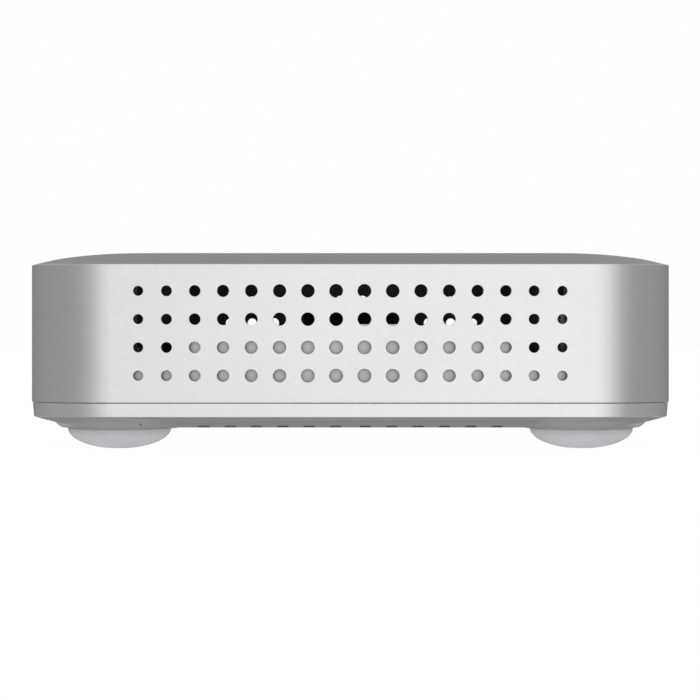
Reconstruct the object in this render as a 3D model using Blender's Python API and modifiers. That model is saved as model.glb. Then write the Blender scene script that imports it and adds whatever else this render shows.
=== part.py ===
"""Palm-sized desktop computer: an aluminium cover on a vented base tray, with its parts inside.

The origin is the centre of the footprint on the resting plane. +Z is up, -Y is the front with
the power button, +Y is the rear with the connectors, and the vented sides face -X and +X.
Lengths below are in millimetres. They become metres where meshes and locations are set.
"""
import math

import bmesh
import bpy
from mathutils import Matrix

MM = 0.001

# Enclosure
SIDE = 114.7
HALF = SIDE / 2
CORNER_LENGTH = 15.0
CORNER_DEPTH = 8.0
CORNER_STEPS = 6
WALL = 1.4
UNDERSIDE_Z = 3.79
BASE_FACE_Z = 6.08
SEAM_Z = 8.55
SEAM_GAP = 0.3
WALL_TOP_Z = 33.13
CROWN_RISE = 2.6
CROWN_WIDTH = 19.0
CLEARANCE = 0.3
CROWN_STEPS = (0.0, 1.5, 3.5, 6.5, 10.0, 14.0)

# Base tray
FLOOR_TOP = UNDERSIDE_Z + 1.6
LIP_TOP = 10.0
LIP_OUTER = HALF - 1.8
LIP_INNER = HALF - 3.4
UNDERSIDE_INSET = 11.6
UNDERSIDE_DROP = 2.51
UNDERSIDE_STEPS = (0.9, 2.5, 4.5, 7.5, UNDERSIDE_INSET)
SEAT_RADIUS = 10.0
SEAT_FLARE = 1.9
SEAT_HEIGHT = 1.6
INTAKE_SLOTS = 6
INTAKE_PITCH = 4.75
INTAKE_FIRST = 2.7
INTAKE_WIDTH = 1.9
INTAKE_REACH = 48.9
INTAKE_MIDDLE_LENGTH = 56.0
INTAKE_OUTER_LENGTH = 20.0
UPSTAND_X = HALF - 2.7
UPSTAND_BOTTOM = 9.0
UPSTANDS = ((40.0, 0.0, 16.1), (30.0, 0.0, 20.5), (5.0, 5.0, 22.5))

# Feet and the case screws hidden above them
FOOT_POSITION = 42.3
FOOT_RADIUS = 9.4
FOOT_FLAT = 2.6
FOOT_TOP = UNDERSIDE_Z - 0.25
POST_BOTTOM = 7.7
POST_RADIUS = 3.2

# Side vents
VENT_COLUMNS = 16
VENT_ROWS = 4
VENT_PITCH = 5.0
VENT_FIRST_Z = 13.4
VENT_CENTRE_DIAMETER = 2.39
VENT_EDGE_DIAMETER = 1.73
VENT_TAPER = 1.5
VENT_SIDES = 8

# Main board and what stands on it
BOARD_BOTTOM = 10.8
BOARD_TOP = 12.0
BOARD_X = 50.0
BOARD_Y = 52.0
ON_BOARD = BOARD_TOP + CLEARANCE
UNDER_BOARD = BOARD_BOTTOM - CLEARANCE
STANDOFF = (46.5, 32.0)

# Connectors: where each stands, its size, and its mouths as (width, depth, height, level above the board)
FRONT_MOUTH = -HALF + 0.4
REAR_MOUTH = HALF - 0.9
USB_MOUTH = (12.5, 9.0, 5.1)
USB_TONGUE = (11.1, 8.0, 1.8)
USB_TONGUE_RISE = 0.8
FRONT_USB_X = (-14.0, 4.0)
FRONT_USB_SIZE = (13.1, 14.0, 5.7)
FRONT_USB_LEVEL = 2.85
USB_C_SIZE = (9.0, 8.0, 3.2)
USB_C_MOUTH = (8.3, 6.0, 2.5)
USB_C_TONGUE = (6.6, 5.0, 0.7)
USB_C_LEVEL = 1.6
FRONT_USB_C_X = -30.0
JACK_X = 20.0
JACK_LEVEL = 2.9
REAR_USB_C_X = -6.5
HDMI_X, HDMI_SIZE = -21.0, (15.0, 11.0, 5.9)
ETHERNET_X, ETHERNET_SIZE = 9.0, (16.0, 17.0, 13.4)
USB_STACK_X, USB_STACK_SIZE = 28.0, (14.5, 16.0, 15.6)
USB_STACK_LEVELS = (3.6, 11.6)
DC_X, DC_SIZE, DC_LEVEL = -37.0, (9.0, 9.7, 9.0), 4.8
IO_OPENING_X = (-44.0, 38.0)
IO_OPENING_Z = (10.6, 28.8)
IO_PLATE_Y = HALF - 0.7
EXHAUST_Z = 30.9
EXHAUST_PITCH = 6.6
EXHAUST_SLOT = (4.2, 4.0, 1.6)

# Cooler
FAN_Y = 1.0
PLATE_BOTTOM = 13.5
PLATE_TOP = 15.1
LOW_FIN_TOP = 17.4
TALL_FIN_TOP = 22.0
FAN_HALF = 28.0
FAN_BOTTOM = 17.7
FAN_TOP = 22.2
FAN_BORE = 26.3
HUB_RADIUS = 10.5
HUB_TOP = 26.5
HUB_BOTTOM = 19.1
BLADES = 7
BLADE_LENGTH = 15.4
BLADE_Z = 20.55
BLADE_TILT = 16
COOLER_SCREWS = (33.0, 29.5)

# Power button
BUTTON_X = 38.0
BUTTON_Z = 20.0
BUTTON_RADIUS = 5.2
RING_RADIUS = 6.7

# Cards under the main board
CARD_Z = 8.8
CARD_THICKNESS = 0.8
RAM_Z = 8.7
RAM_LENGTH = 67.6
LATCH_X = 18.4
LATCH_Y = 35.5
SSD_X = -27.5
SSD_START = -47.6
WIFI_X = -4.0
WIFI_START = 1.0
CARD_SOCKET_BOTTOM = 6.9
RAM_SOCKET_BOTTOM = 6.8
ANTENNA_Y = IO_PLATE_Y - 1.6
ANTENNA_CABLE_RADIUS = 0.45

FINISHES = {
    "cover_aluminium": ((0.72, 0.72, 0.72), 0.42, 1.0),
    "base_aluminium": ((0.62, 0.62, 0.63), 0.45, 1.0),
    "heatsink_aluminium": ((0.45, 0.45, 0.46), 0.50, 1.0),
    "steel": ((0.60, 0.60, 0.58), 0.30, 1.0),
    "foot_rubber": ((0.42, 0.43, 0.45), 0.70, 0.0),
    "black_plastic": ((0.015, 0.015, 0.016), 0.50, 0.0),
    "light_guide": ((0.75, 0.78, 0.82), 0.25, 0.0),
    "board_laminate": ((0.010, 0.045, 0.025), 0.45, 0.0),
    "chip_package": ((0.03, 0.03, 0.035), 0.35, 0.0),
    "bronze": ((0.55, 0.36, 0.16), 0.35, 1.0),
}


def metres(values):
    return tuple(value * MM for value in values)


def clear_scene():
    for obj in list(bpy.data.objects):
        bpy.data.objects.remove(obj, do_unlink=True)


def make_collection(name):
    group = bpy.data.collections.new(name)
    bpy.context.scene.collection.children.link(group)
    return group


def make_finish(name, colour, roughness, metallic):
    finish = bpy.data.materials.new(name)
    finish.use_nodes = True
    shader = finish.node_tree.nodes["Principled BSDF"]
    shader.inputs["Base Color"].default_value = (*colour, 1.0)
    shader.inputs["Roughness"].default_value = roughness
    shader.inputs["Metallic"].default_value = metallic
    return finish


clear_scene()
PARTS = make_collection("mini_pc")
CUTTERS = make_collection("cutters")
MATERIALS = {name: make_finish(name, *values) for name, values in FINISHES.items()}


# ---------------------------------------------------------------- modelling helpers

def add_object(name, bm, place, finish):
    """Turn a bmesh into an object; without a finish it is a cutter or a piece to be joined."""
    bmesh.ops.recalc_face_normals(bm, faces=bm.faces)
    mesh = bpy.data.meshes.new(name)
    bm.to_mesh(mesh)
    bm.free()
    obj = bpy.data.objects.new(name, mesh)
    obj.location = metres(place)
    if finish:
        PARTS.objects.link(obj)
        mesh.materials.append(MATERIALS[finish])
        mesh.shade_smooth()
        mesh.set_sharp_from_angle(angle=math.radians(30))
    else:
        CUTTERS.objects.link(obj)
        obj.hide_render = True
        obj.display_type = "WIRE"
    return obj


def add_cube(bm, size, centre=(0, 0, 0), turn=None):
    matrix = Matrix.Translation(metres(centre))
    if turn:
        matrix = matrix @ turn
    bmesh.ops.create_cube(bm, size=1.0, matrix=matrix @ Matrix.Diagonal((*metres(size), 1.0)))


def add_rod(bm, radius, length, centre=(0, 0, 0), axis="Z", sides=24):
    turns = {
        "X": Matrix.Rotation(math.radians(90), 4, "Y"),
        "Y": Matrix.Rotation(math.radians(90), 4, "X"),
        "Z": Matrix.Identity(4),
    }
    bmesh.ops.create_cone(
        bm,
        cap_ends=True,
        segments=sides,
        radius1=radius * MM,
        radius2=radius * MM,
        depth=length * MM,
        matrix=Matrix.Translation(metres(centre)) @ turns[axis],
    )


def add_cone(bm, bottom_radius, top_radius, height, centre, sides):
    bmesh.ops.create_cone(
        bm,
        cap_ends=True,
        segments=sides,
        radius1=bottom_radius * MM,
        radius2=top_radius * MM,
        depth=height * MM,
        matrix=Matrix.Translation(metres(centre)),
    )


def block(name, size, centre, finish=None, bevel=0.0):
    bm = bmesh.new()
    add_cube(bm, size)
    obj = add_object(name, bm, centre, finish)
    if bevel:
        edge = obj.modifiers.new("Bevel", "BEVEL")
        edge.width = bevel * MM
        edge.segments = 1
    return obj


def blocks(name, boxes, finish=None):
    """Several boxes in one mesh, each given as (size, centre)."""
    bm = bmesh.new()
    for size, centre in boxes:
        add_cube(bm, size, centre)
    return add_object(name, bm, (0, 0, 0), finish)


def rod(name, radius, length, centre, finish=None, axis="Z", sides=24):
    bm = bmesh.new()
    add_rod(bm, radius, length, axis=axis, sides=sides)
    return add_object(name, bm, centre, finish)


def rods(name, items, axis="Z", sides=24):
    """Several rods in one cutter, each given as (radius, length, centre)."""
    bm = bmesh.new()
    for radius, length, centre in items:
        add_rod(bm, radius, length, centre, axis, sides)
    return add_object(name, bm, (0, 0, 0), None)


def turned(name, profile, place, finish, steps=24, closed=False):
    """Revolve (radius, height) points that run down the outer side about local Z."""
    mesh = bpy.data.meshes.new(name)
    points = [(radius * MM, 0.0, height * MM) for radius, height in profile]
    edges = [(index, index + 1) for index in range(len(points) - 1)]
    if closed:
        edges.append((len(points) - 1, 0))
    mesh.from_pydata(points, edges, [])
    mesh.materials.append(MATERIALS[finish])
    obj = bpy.data.objects.new(name, mesh)
    obj.location = metres(place)
    PARTS.objects.link(obj)
    spin = obj.modifiers.new("Screw", "SCREW")
    spin.steps = steps
    spin.render_steps = steps
    spin.use_merge_vertices = True
    spin.merge_threshold = 0.00001
    spin.use_smooth_shade = True
    return obj


def wire(name, points, radius, finish):
    """A cable: a poly spline with a round section and filled ends."""
    curve = bpy.data.curves.new(name, "CURVE")
    curve.dimensions = "3D"
    curve.bevel_depth = radius * MM
    curve.bevel_resolution = 2
    curve.use_fill_caps = True
    spline = curve.splines.new("POLY")
    spline.points.add(len(points) - 1)
    for target, point in zip(spline.points, points):
        target.co = (*metres(point), 1.0)
    curve.materials.append(MATERIALS[finish])
    obj = bpy.data.objects.new(name, curve)
    PARTS.objects.link(obj)
    return obj


def boolean(obj, operand, operation):
    step = obj.modifiers.new(operand.name, "BOOLEAN")
    step.operation = operation
    step.solver = "EXACT"
    step.object = operand


def cut(obj, *cutters):
    for cutter in cutters:
        boolean(obj, cutter, "DIFFERENCE")


def join(obj, *others):
    for other in others:
        boolean(obj, other, "UNION")


def corners(position_x, position_y=None):
    """The four mirrored positions, each with the words front/rear and left/right."""
    position_y = position_x if position_y is None else position_y
    for end, sign_y in (("front", -1), ("rear", 1)):
        for hand, sign_x in (("left", -1), ("right", 1)):
            yield f"{end}_{hand}", sign_x * position_x, sign_y * position_y


def rounded_ring(half_x, half_y, length, depth, z):
    """Points of a rectangle with elliptical corners, counter-clockwise, at height z.

    length is how much of each side along Y the corners take up, and depth the same along X.
    """
    points = []
    centres = (
        (half_x - depth, half_y - length),
        (depth - half_x, half_y - length),
        (depth - half_x, length - half_y),
        (half_x - depth, length - half_y),
    )
    for quarter, (centre_x, centre_y) in enumerate(centres):
        for step in range(CORNER_STEPS + 1):
            angle = math.radians(90) * (quarter + step / CORNER_STEPS)
            x = centre_x + depth * math.cos(angle)
            y = centre_y + length * math.sin(angle)
            points.append(metres((x, y, z)))
    return points


def loft(name, rings, finish):
    """Skin a run of equal-sized rings and close both ends."""
    bm = bmesh.new()
    loops = [[bm.verts.new(point) for point in ring] for ring in rings]
    count = len(loops[0])
    for lower, upper in zip(loops, loops[1:]):
        for index in range(count):
            after = (index + 1) % count
            bm.faces.new((lower[index], lower[after], upper[after], upper[index]))
    bm.faces.new(loops[0])
    bm.faces.new(loops[-1])
    return add_object(name, bm, (0, 0, 0), finish)


def shell_ring(inset, z):
    """A ring of the enclosure, set in from its outline."""
    length = max(CORNER_LENGTH - inset, 4.0)
    depth = max(CORNER_DEPTH - inset, 3.0)
    return rounded_ring(HALF - inset, HALF - inset, length, depth, z)


def plate(name, half_x, half_y, radius, bottom, top, finish):
    rings = [rounded_ring(half_x, half_y, radius, radius, z) for z in (bottom, top)]
    return loft(name, rings, finish)


# ---------------------------------------------------------------- enclosure

def crown_height(inset):
    """How far the lid has risen above the side wall at a distance in from its edge."""
    rest = max(0.0, 1.0 - inset / CROWN_WIDTH)
    return CROWN_RISE * (1.0 - rest ** 2)


def underside_height(inset):
    """The base's height above the desk at a distance in from its edge."""
    return UNDERSIDE_Z + UNDERSIDE_DROP * (1.0 - inset / UNDERSIDE_INSET) ** 2


def vent_positions():
    """(radius, y, z) of each round vent; the columns shrink from the middle to the ends."""
    middle = (VENT_COLUMNS - 1) / 2
    for column in range(VENT_COLUMNS):
        offset = column - middle
        share = ((abs(offset) - 0.5) / (middle - 0.5)) ** VENT_TAPER
        diameter = VENT_CENTRE_DIAMETER + share * (VENT_EDGE_DIAMETER - VENT_CENTRE_DIAMETER)
        for row in range(VENT_ROWS):
            yield diameter / 2, offset * VENT_PITCH, VENT_FIRST_Z + row * VENT_PITCH


def make_top_cover():
    bottom = SEAM_Z + SEAM_GAP / 2
    rings = [
        shell_ring(CROWN_WIDTH, WALL_TOP_Z + CROWN_RISE - WALL),
        shell_ring(5.0, WALL_TOP_Z + crown_height(5.0) - WALL - 0.2),
        shell_ring(WALL, WALL_TOP_Z - 1.0),
        shell_ring(WALL, bottom),
        shell_ring(0.0, bottom),
    ]
    rings += [shell_ring(inset, WALL_TOP_Z + crown_height(inset)) for inset in CROWN_STEPS]
    rings.append(shell_ring(CROWN_WIDTH, WALL_TOP_Z + CROWN_RISE))
    cover = loft("top_cover", rings, "cover_aluminium")

    post_top = WALL_TOP_Z + CROWN_RISE - WALL + 0.3
    post_height = post_top - POST_BOTTOM
    post_middle = POST_BOTTOM + post_height / 2
    posts = [(POST_RADIUS, post_height, (x, y, post_middle)) for _, x, y in corners(FOOT_POSITION)]
    join(cover, rods("cover_posts", posts, sides=12))
    threads = [(1.4, 10.0, (x, y, POST_BOTTOM + 4.0)) for _, x, y in corners(FOOT_POSITION)]
    cut(cover, rods("post_threads", threads, sides=8))

    vents = [(radius, SIDE + 4, (0, y, z)) for radius, y, z in vent_positions()]
    cut(cover, rods("side_vents", vents, axis="X", sides=VENT_SIDES))

    front_holes = [((13.7, 4.0, 6.3), (x, -HALF, ON_BOARD + FRONT_USB_LEVEL)) for x in FRONT_USB_X]
    front_holes.append(((9.7, 4.0, 3.9), (FRONT_USB_C_X, -HALF, ON_BOARD + USB_C_LEVEL)))
    cut(cover, blocks("front_port_holes", front_holes))
    round_holes = [
        (3.2, 4.0, (JACK_X, -HALF, ON_BOARD + JACK_LEVEL)),
        (RING_RADIUS + CLEARANCE, 4.0, (BUTTON_X, -HALF, BUTTON_Z)),
    ]
    cut(cover, rods("front_round_holes", round_holes, axis="Y", sides=24))

    low, high = IO_OPENING_Z
    left, right = IO_OPENING_X
    opening = ((right - left, 4.0, high - low), ((left + right) / 2, HALF, (low + high) / 2))
    slots = [(EXHAUST_SLOT, (EXHAUST_PITCH * index, HALF, EXHAUST_Z)) for index in range(-6, 7)]
    cut(cover, blocks("rear_openings", [opening, *slots]))


def make_base_tray():
    rings = [
        shell_ring(7.0, FLOOR_TOP),
        shell_ring(HALF - LIP_INNER, FLOOR_TOP + 1.7),
        shell_ring(HALF - LIP_INNER, LIP_TOP),
        shell_ring(HALF - LIP_OUTER, LIP_TOP),
        shell_ring(HALF - LIP_OUTER, SEAM_Z - SEAM_GAP / 2),
        shell_ring(0.16, SEAM_Z - SEAM_GAP / 2),
        shell_ring(0.32, BASE_FACE_Z + 0.35),
    ]
    rings += [shell_ring(inset, underside_height(inset)) for inset in UNDERSIDE_STEPS]
    tray = loft("base_tray", rings, "base_aluminium")

    bm = bmesh.new()
    for _, x, y in corners(FOOT_POSITION):
        middle = (x, y, UNDERSIDE_Z + SEAT_HEIGHT / 2)
        add_cone(bm, SEAT_RADIUS, SEAT_RADIUS + SEAT_FLARE, SEAT_HEIGHT, middle, 28)
    join(tray, add_object("foot_seats", bm, (0, 0, 0), None))
    bosses = [(4.5, 2.6, (x, y, POST_BOTTOM - 1.7)) for _, x, y in corners(FOOT_POSITION)]
    standoffs = [(2.2, 5.8, (x, y, UNDER_BOARD - 2.9)) for _, x, y in corners(*STANDOFF)]
    join(tray, rods("tray_bosses", bosses + standoffs, sides=12))

    upstands = []
    for sign in (-1, 1):
        for half_length, centre_y, top in UPSTANDS:
            height = top - UPSTAND_BOTTOM
            centre = (sign * UPSTAND_X, centre_y, UPSTAND_BOTTOM + height / 2)
            upstands.append(((1.0, 2 * half_length, height), centre))
    for index, (size, centre) in enumerate(upstands):
        join(tray, block(f"vent_upstand_{index + 1}", size, centre))

    counterbores = [(2.8, 4.0, (x, y, UNDERSIDE_Z + 0.15)) for _, x, y in corners(FOOT_POSITION)]
    cut(tray, rods("screw_counterbores", counterbores, sides=12))
    through = [(1.5, 8.0, (x, y, 6.0)) for _, x, y in corners(FOOT_POSITION)]
    blind = [(1.25, 4.4, (x, y, UNDER_BOARD - 2.0)) for _, x, y in corners(*STANDOFF)]
    cut(tray, rods("screw_holes", through + blind, sides=8))

    slots = []
    outer_x = INTAKE_REACH - INTAKE_OUTER_LENGTH / 2
    lengths = ((-outer_x, INTAKE_OUTER_LENGTH), (0.0, INTAKE_MIDDLE_LENGTH), (outer_x, INTAKE_OUTER_LENGTH))
    for sign in (-1, 1):
        for index in range(INTAKE_SLOTS):
            y = sign * (INTAKE_FIRST + INTAKE_PITCH * index)
            for x, length in lengths:
                slots.append(((length, INTAKE_WIDTH, 6.0), (x, y, UNDERSIDE_Z)))
    cut(tray, blocks("intake_slots", slots))


def make_feet():
    lowest = math.acos(FOOT_FLAT / FOOT_RADIUS)
    steps = 5
    profile = [(0.0, FOOT_TOP)]
    for step in range(steps + 1):
        angle = lowest * step / steps
        drop = math.sin(angle) / math.sin(lowest) * FOOT_TOP
        profile.append((FOOT_RADIUS * math.cos(angle), FOOT_TOP - drop))
    profile.append((0.0, 0.0))
    for words, x, y in corners(FOOT_POSITION):
        turned(f"foot_{words}", profile, (x, y, 0), "foot_rubber", steps=24)


def screw(name, place, head_radius, head_height, shank_radius, shank_length, finish="steel", head_up=True):
    """A round-headed screw; place is the middle of the head's underside."""
    profile = [
        (0.0, head_height),
        (head_radius * 0.85, head_height),
        (head_radius, head_height * 0.7),
        (head_radius, 0.0),
        (shank_radius, 0.0),
        (shank_radius, -shank_length),
        (0.0, -shank_length),
    ]
    obj = turned(name, profile, place, finish, steps=10)
    if not head_up:
        obj.rotation_euler.x = math.pi
    return obj


def make_case_screws():
    for words, x, y in corners(FOOT_POSITION):
        place = (x, y, UNDERSIDE_Z + 1.75)
        screw(f"case_screw_{words}", place, 2.4, 1.4, 1.1, 8.0, head_up=False)


# ---------------------------------------------------------------- connectors

def connector(name, x, facing, size, pockets, tongues, finish="steel", bottom=ON_BOARD):
    """A box-shaped connector on the board with open mouths and contact tongues.

    pockets and tongues are lists of (width, depth, height, centre height above the bottom).
    """
    width, depth, height = size
    mouth = REAR_MOUTH if facing > 0 else FRONT_MOUTH
    body = block(name, size, (x, mouth - facing * depth / 2, bottom + height / 2), finish)
    for index, (pocket_width, pocket_depth, pocket_height, level) in enumerate(pockets):
        length = pocket_depth + 1.0
        centre = (x, mouth - facing * (pocket_depth - 1.0) / 2, bottom + level)
        cut(body, block(f"{name}_mouth_{index + 1}", (pocket_width, length, pocket_height), centre))
    for index, (tongue_width, tongue_length, tongue_height, level) in enumerate(tongues):
        root = mouth - facing * (pockets[0][1] + 0.5)
        centre = (x, root + facing * (tongue_length + 0.5) / 2, bottom + level)
        tongue_size = (tongue_width, tongue_length + 0.5, tongue_height)
        join(body, block(f"{name}_tongue_{index + 1}", tongue_size, centre))
    return body


def usb_a_openings(levels):
    """The mouths and tongues of flat sockets stacked at the given levels."""
    mouths = [(*USB_MOUTH, level) for level in levels]
    tongues = [(*USB_TONGUE, level + USB_TONGUE_RISE) for level in levels]
    return mouths, tongues


def usb_c_connector(name, x, facing):
    mouths, tongues = [(*USB_C_MOUTH, USB_C_LEVEL)], [(*USB_C_TONGUE, USB_C_LEVEL)]
    connector(name, x, facing, USB_C_SIZE, mouths, tongues)


def make_front_connectors():
    mouths, tongues = usb_a_openings([FRONT_USB_LEVEL])
    for hand, x in zip(("left", "right"), FRONT_USB_X):
        connector(f"front_usb_{hand}", x, -1, FRONT_USB_SIZE, mouths, tongues)
    usb_c_connector("front_usb_c", FRONT_USB_C_X, -1)

    level = ON_BOARD + JACK_LEVEL
    jack = block("audio_jack", (6.6, 10.6, 5.8), (JACK_X, -HALF + 7.0, level), "black_plastic")
    join(jack, rod("audio_jack_barrel", 2.8, 3.0, (JACK_X, -HALF + 1.9, level), axis="Y"))
    cut(jack, rod("audio_jack_bore", 1.75, 24.0, (JACK_X, -HALF, level), axis="Y", sides=16))


def make_rear_connectors():
    connector("hdmi_port", HDMI_X, 1, HDMI_SIZE, [(14.1, 8.0, 4.5, 2.9)], [(10.6, 7.0, 1.2, 3.3)])
    usb_c_connector("rear_usb_c", REAR_USB_C_X, 1)
    ethernet_pockets = [(11.8, 12.0, 7.0, 7.6), (6.0, 12.0, 2.4, 3.6), (3.4, 12.0, 1.6, 2.1)]
    connector("ethernet_port", ETHERNET_X, 1, ETHERNET_SIZE, ethernet_pockets, [(7.0, 9.0, 1.0, 10.2)])
    mouths, tongues = usb_a_openings(USB_STACK_LEVELS)
    connector("rear_usb_stack", USB_STACK_X, 1, USB_STACK_SIZE, mouths, tongues)

    back = REAR_MOUTH - 0.8
    level = ON_BOARD + DC_LEVEL
    centre = (DC_X, back - DC_SIZE[1] / 2, ON_BOARD + DC_SIZE[2] / 2)
    jack = block("dc_jack", DC_SIZE, centre, "black_plastic")
    join(jack, rod("dc_jack_barrel", 3.8, 1.8, (DC_X, REAR_MOUTH - 0.9, level), axis="Y"))
    cut(jack, rod("dc_jack_bore", 3.1, 18.0, (DC_X, REAR_MOUTH, level), axis="Y"))
    join(jack, rod("dc_jack_pin", 0.9, 8.5, (DC_X, REAR_MOUTH - 5.75, level), axis="Y", sides=12))


def make_rear_io_plate():
    low, high = IO_OPENING_Z
    left, right = IO_OPENING_X
    size = (right - left - 2 * CLEARANCE, 1.0, high - low - 2 * CLEARANCE)
    centre = ((left + right) / 2, IO_PLATE_Y, (low + high) / 2)
    panel = block("rear_io_plate", size, centre, "black_plastic")
    sockets = (
        (HDMI_X, HDMI_SIZE),
        (REAR_USB_C_X, USB_C_SIZE),
        (ETHERNET_X, ETHERNET_SIZE),
        (USB_STACK_X, USB_STACK_SIZE),
    )
    windows = []
    for x, (width, _, height) in sockets:
        windows.append(((width + 0.7, 3.0, height + 0.7), (x, IO_PLATE_Y, ON_BOARD + height / 2)))
    cut(panel, blocks("rear_io_windows", windows))
    cut(panel, rod("dc_window", 4.2, 3.0, (DC_X, IO_PLATE_Y, ON_BOARD + DC_LEVEL), axis="Y"))


# ---------------------------------------------------------------- power button

def make_power_button():
    place = (BUTTON_X, -HALF, BUTTON_Z)
    facing_front = math.radians(90)
    cap = [
        (0.0, -0.15),
        (BUTTON_RADIUS - 0.5, 0.0),
        (BUTTON_RADIUS, -0.3),
        (BUTTON_RADIUS, -1.6),
        (BUTTON_RADIUS + 1.0, -1.6),
        (BUTTON_RADIUS + 1.0, -2.3),
        (1.6, -2.3),
        (1.6, -3.6),
        (0.0, -3.6),
    ]
    button = turned("power_button", cap, place, "cover_aluminium", steps=24)
    button.rotation_euler.x = facing_front
    inner = BUTTON_RADIUS + CLEARANCE
    outline = [(inner, -0.05), (RING_RADIUS, -0.05), (RING_RADIUS, -1.25), (inner, -1.25)]
    ring = turned("power_button_ring", outline, place, "light_guide", steps=24, closed=True)
    ring.rotation_euler.x = facing_front

    switch_back = -HALF + 9.6
    plunger_tip = -HALF + 4.4
    body_front = plunger_tip + 0.8
    depth = switch_back - body_front
    height = BUTTON_Z + 3.0 - ON_BOARD
    centre = (BUTTON_X, body_front + depth / 2, ON_BOARD + height / 2)
    body = block("power_switch", (6.0, depth, height), centre, "black_plastic")
    join(body, rod("switch_plunger", 1.4, 1.6, (BUTTON_X, body_front, BUTTON_Z), axis="Y", sides=16))


# ---------------------------------------------------------------- board and cooler

def make_main_board():
    board = plate("main_board", BOARD_X, BOARD_Y, 4.0, BOARD_BOTTOM, BOARD_TOP, "board_laminate")
    holes = [(POST_RADIUS + 0.5, 4.0, (x, y, BOARD_TOP)) for _, x, y in corners(FOOT_POSITION)]
    holes += [(1.5, 4.0, (x, y, BOARD_TOP)) for _, x, y in corners(*STANDOFF)]
    holes += [(1.5, 4.0, (x, y + FAN_Y, BOARD_TOP)) for _, x, y in corners(*COOLER_SCREWS)]
    cut(board, rods("board_holes", holes, sides=10))
    for words, x, y in corners(*STANDOFF):
        screw(f"board_screw_{words}", (x, y, ON_BOARD), 2.2, 1.3, 1.0, 4.6)

    package = plate("cpu_package", 18.0, 13.0, 0.8, ON_BOARD, ON_BOARD + 0.5, "chip_package")
    package.location.y = FAN_Y * MM
    join(package, block("cpu_die", (15.0, 9.0, 0.6), (0, FAN_Y, ON_BOARD + 0.6)))

    for index, x in enumerate((-10.0, 0.0)):
        centre = (x, -37.0, ON_BOARD + 1.6)
        block(f"power_coil_{index + 1}", (6.5, 6.5, 3.2), centre, "chip_package", bevel=0.5)


def make_heatsink():
    half_length = 40.0
    sink = plate("heatsink", half_length, 32.0, 3.0, PLATE_BOTTOM, PLATE_TOP, "heatsink_aluminium")
    sink.location.y = FAN_Y * MM
    fin_height = TALL_FIN_TOP - PLATE_TOP + 0.4
    fin_centre = TALL_FIN_TOP - fin_height / 2
    fins = [((2 * half_length - 1.0, 1.2, fin_height), (0, FAN_Y + 5 * k, fin_centre)) for k in range(-5, 6)]
    join(sink, blocks("heatsink_fins", fins))
    cut(sink, block("fan_pocket", (2 * FAN_HALF + 1.2, 70.0, 8.0), (0, FAN_Y, LOW_FIN_TOP + 4.0)))
    holes = [(1.5, 4.0, (x, y + FAN_Y, PLATE_TOP)) for _, x, y in corners(*COOLER_SCREWS)]
    cut(sink, rods("heatsink_holes", holes, sides=8))
    for words, x, y in corners(*COOLER_SCREWS):
        screw(f"heatsink_screw_{words}", (x, y + FAN_Y, PLATE_TOP + CLEARANCE), 2.3, 1.8, 1.1, 5.2)


def make_fan():
    height = FAN_TOP - FAN_BOTTOM
    frame = plate("fan_frame", FAN_HALF, FAN_HALF, 3.0, FAN_BOTTOM, FAN_TOP, "black_plastic")
    frame.location.y = FAN_Y * MM
    cut(frame, rod("fan_bore", FAN_BORE, 3 * height, (0, FAN_Y, FAN_BOTTOM), sides=32))
    bars = [
        ((2 * FAN_BORE + 1.0, 3.0, 0.9), (0, FAN_Y, FAN_BOTTOM + 0.5)),
        ((3.0, 2 * FAN_BORE + 1.0, 0.9), (0, FAN_Y, FAN_BOTTOM + 0.5)),
    ]
    for index, (size, centre) in enumerate(bars):
        join(frame, block(f"fan_strut_{index + 1}", size, centre))
    join(frame, rod("fan_motor_disc", 9.0, 1.0, (0, FAN_Y, FAN_BOTTOM + 0.55)))
    join(frame, rod("fan_bearing_tube", 4.0, 6.6, (0, FAN_Y, FAN_BOTTOM + 3.6), sides=16))
    cut(frame, rod("fan_bearing_bore", 2.9, 8.0, (0, FAN_Y, FAN_BOTTOM + 4.8), sides=16))

    bearing = [(1.3, 24.2), (2.6, 24.2), (2.6, 18.8), (1.3, 18.8)]
    turned("fan_bearing", bearing, (0, FAN_Y, 0), "bronze", steps=16, closed=True)
    shaft = [(0.0, 25.1), (1.0, 25.1), (1.0, 19.0), (0.0, 19.0)]
    turned("fan_shaft", shaft, (0, FAN_Y, 0), "steel", steps=12)

    hub_inner = HUB_RADIUS - 1.2
    hub = [
        (0.0, HUB_TOP),
        (hub_inner, HUB_TOP),
        (HUB_RADIUS, HUB_TOP - 1.2),
        (HUB_RADIUS, HUB_BOTTOM),
        (hub_inner, HUB_BOTTOM),
        (hub_inner, HUB_TOP - 1.1),
        (0.0, HUB_TOP - 1.1),
    ]
    rotor = turned("fan_rotor", hub, (0, FAN_Y, 0), "black_plastic", steps=24)
    bm = bmesh.new()
    reach = Matrix.Translation(metres((HUB_RADIUS - 0.6 + BLADE_LENGTH / 2, 0, 0)))
    tilt = Matrix.Rotation(math.radians(BLADE_TILT), 4, "X")
    for blade in range(BLADES):
        spin = Matrix.Rotation(math.tau * blade / BLADES, 4, "Z")
        add_cube(bm, (BLADE_LENGTH, 7.4, 0.9), (0, 0, 0), spin @ reach @ tilt)
    join(rotor, add_object("fan_blades", bm, (0, FAN_Y, BLADE_Z), None))

    block("fan_connector", (6.2, 4.0, 4.2), (26.0, -37.0, ON_BOARD + 2.1), "black_plastic", bevel=0.3)
    path = [
        (20, -27.6, 19.4),
        (20, -30.5, 19.2),
        (21, -33.0, 18.6),
        (24, -35.6, 18.3),
        (26, -37.0, 17.2),
        (26, -37.0, 16.9),
    ]
    wire("fan_cable", path, 0.6, "black_plastic")


# ---------------------------------------------------------------- cards under the board

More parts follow.
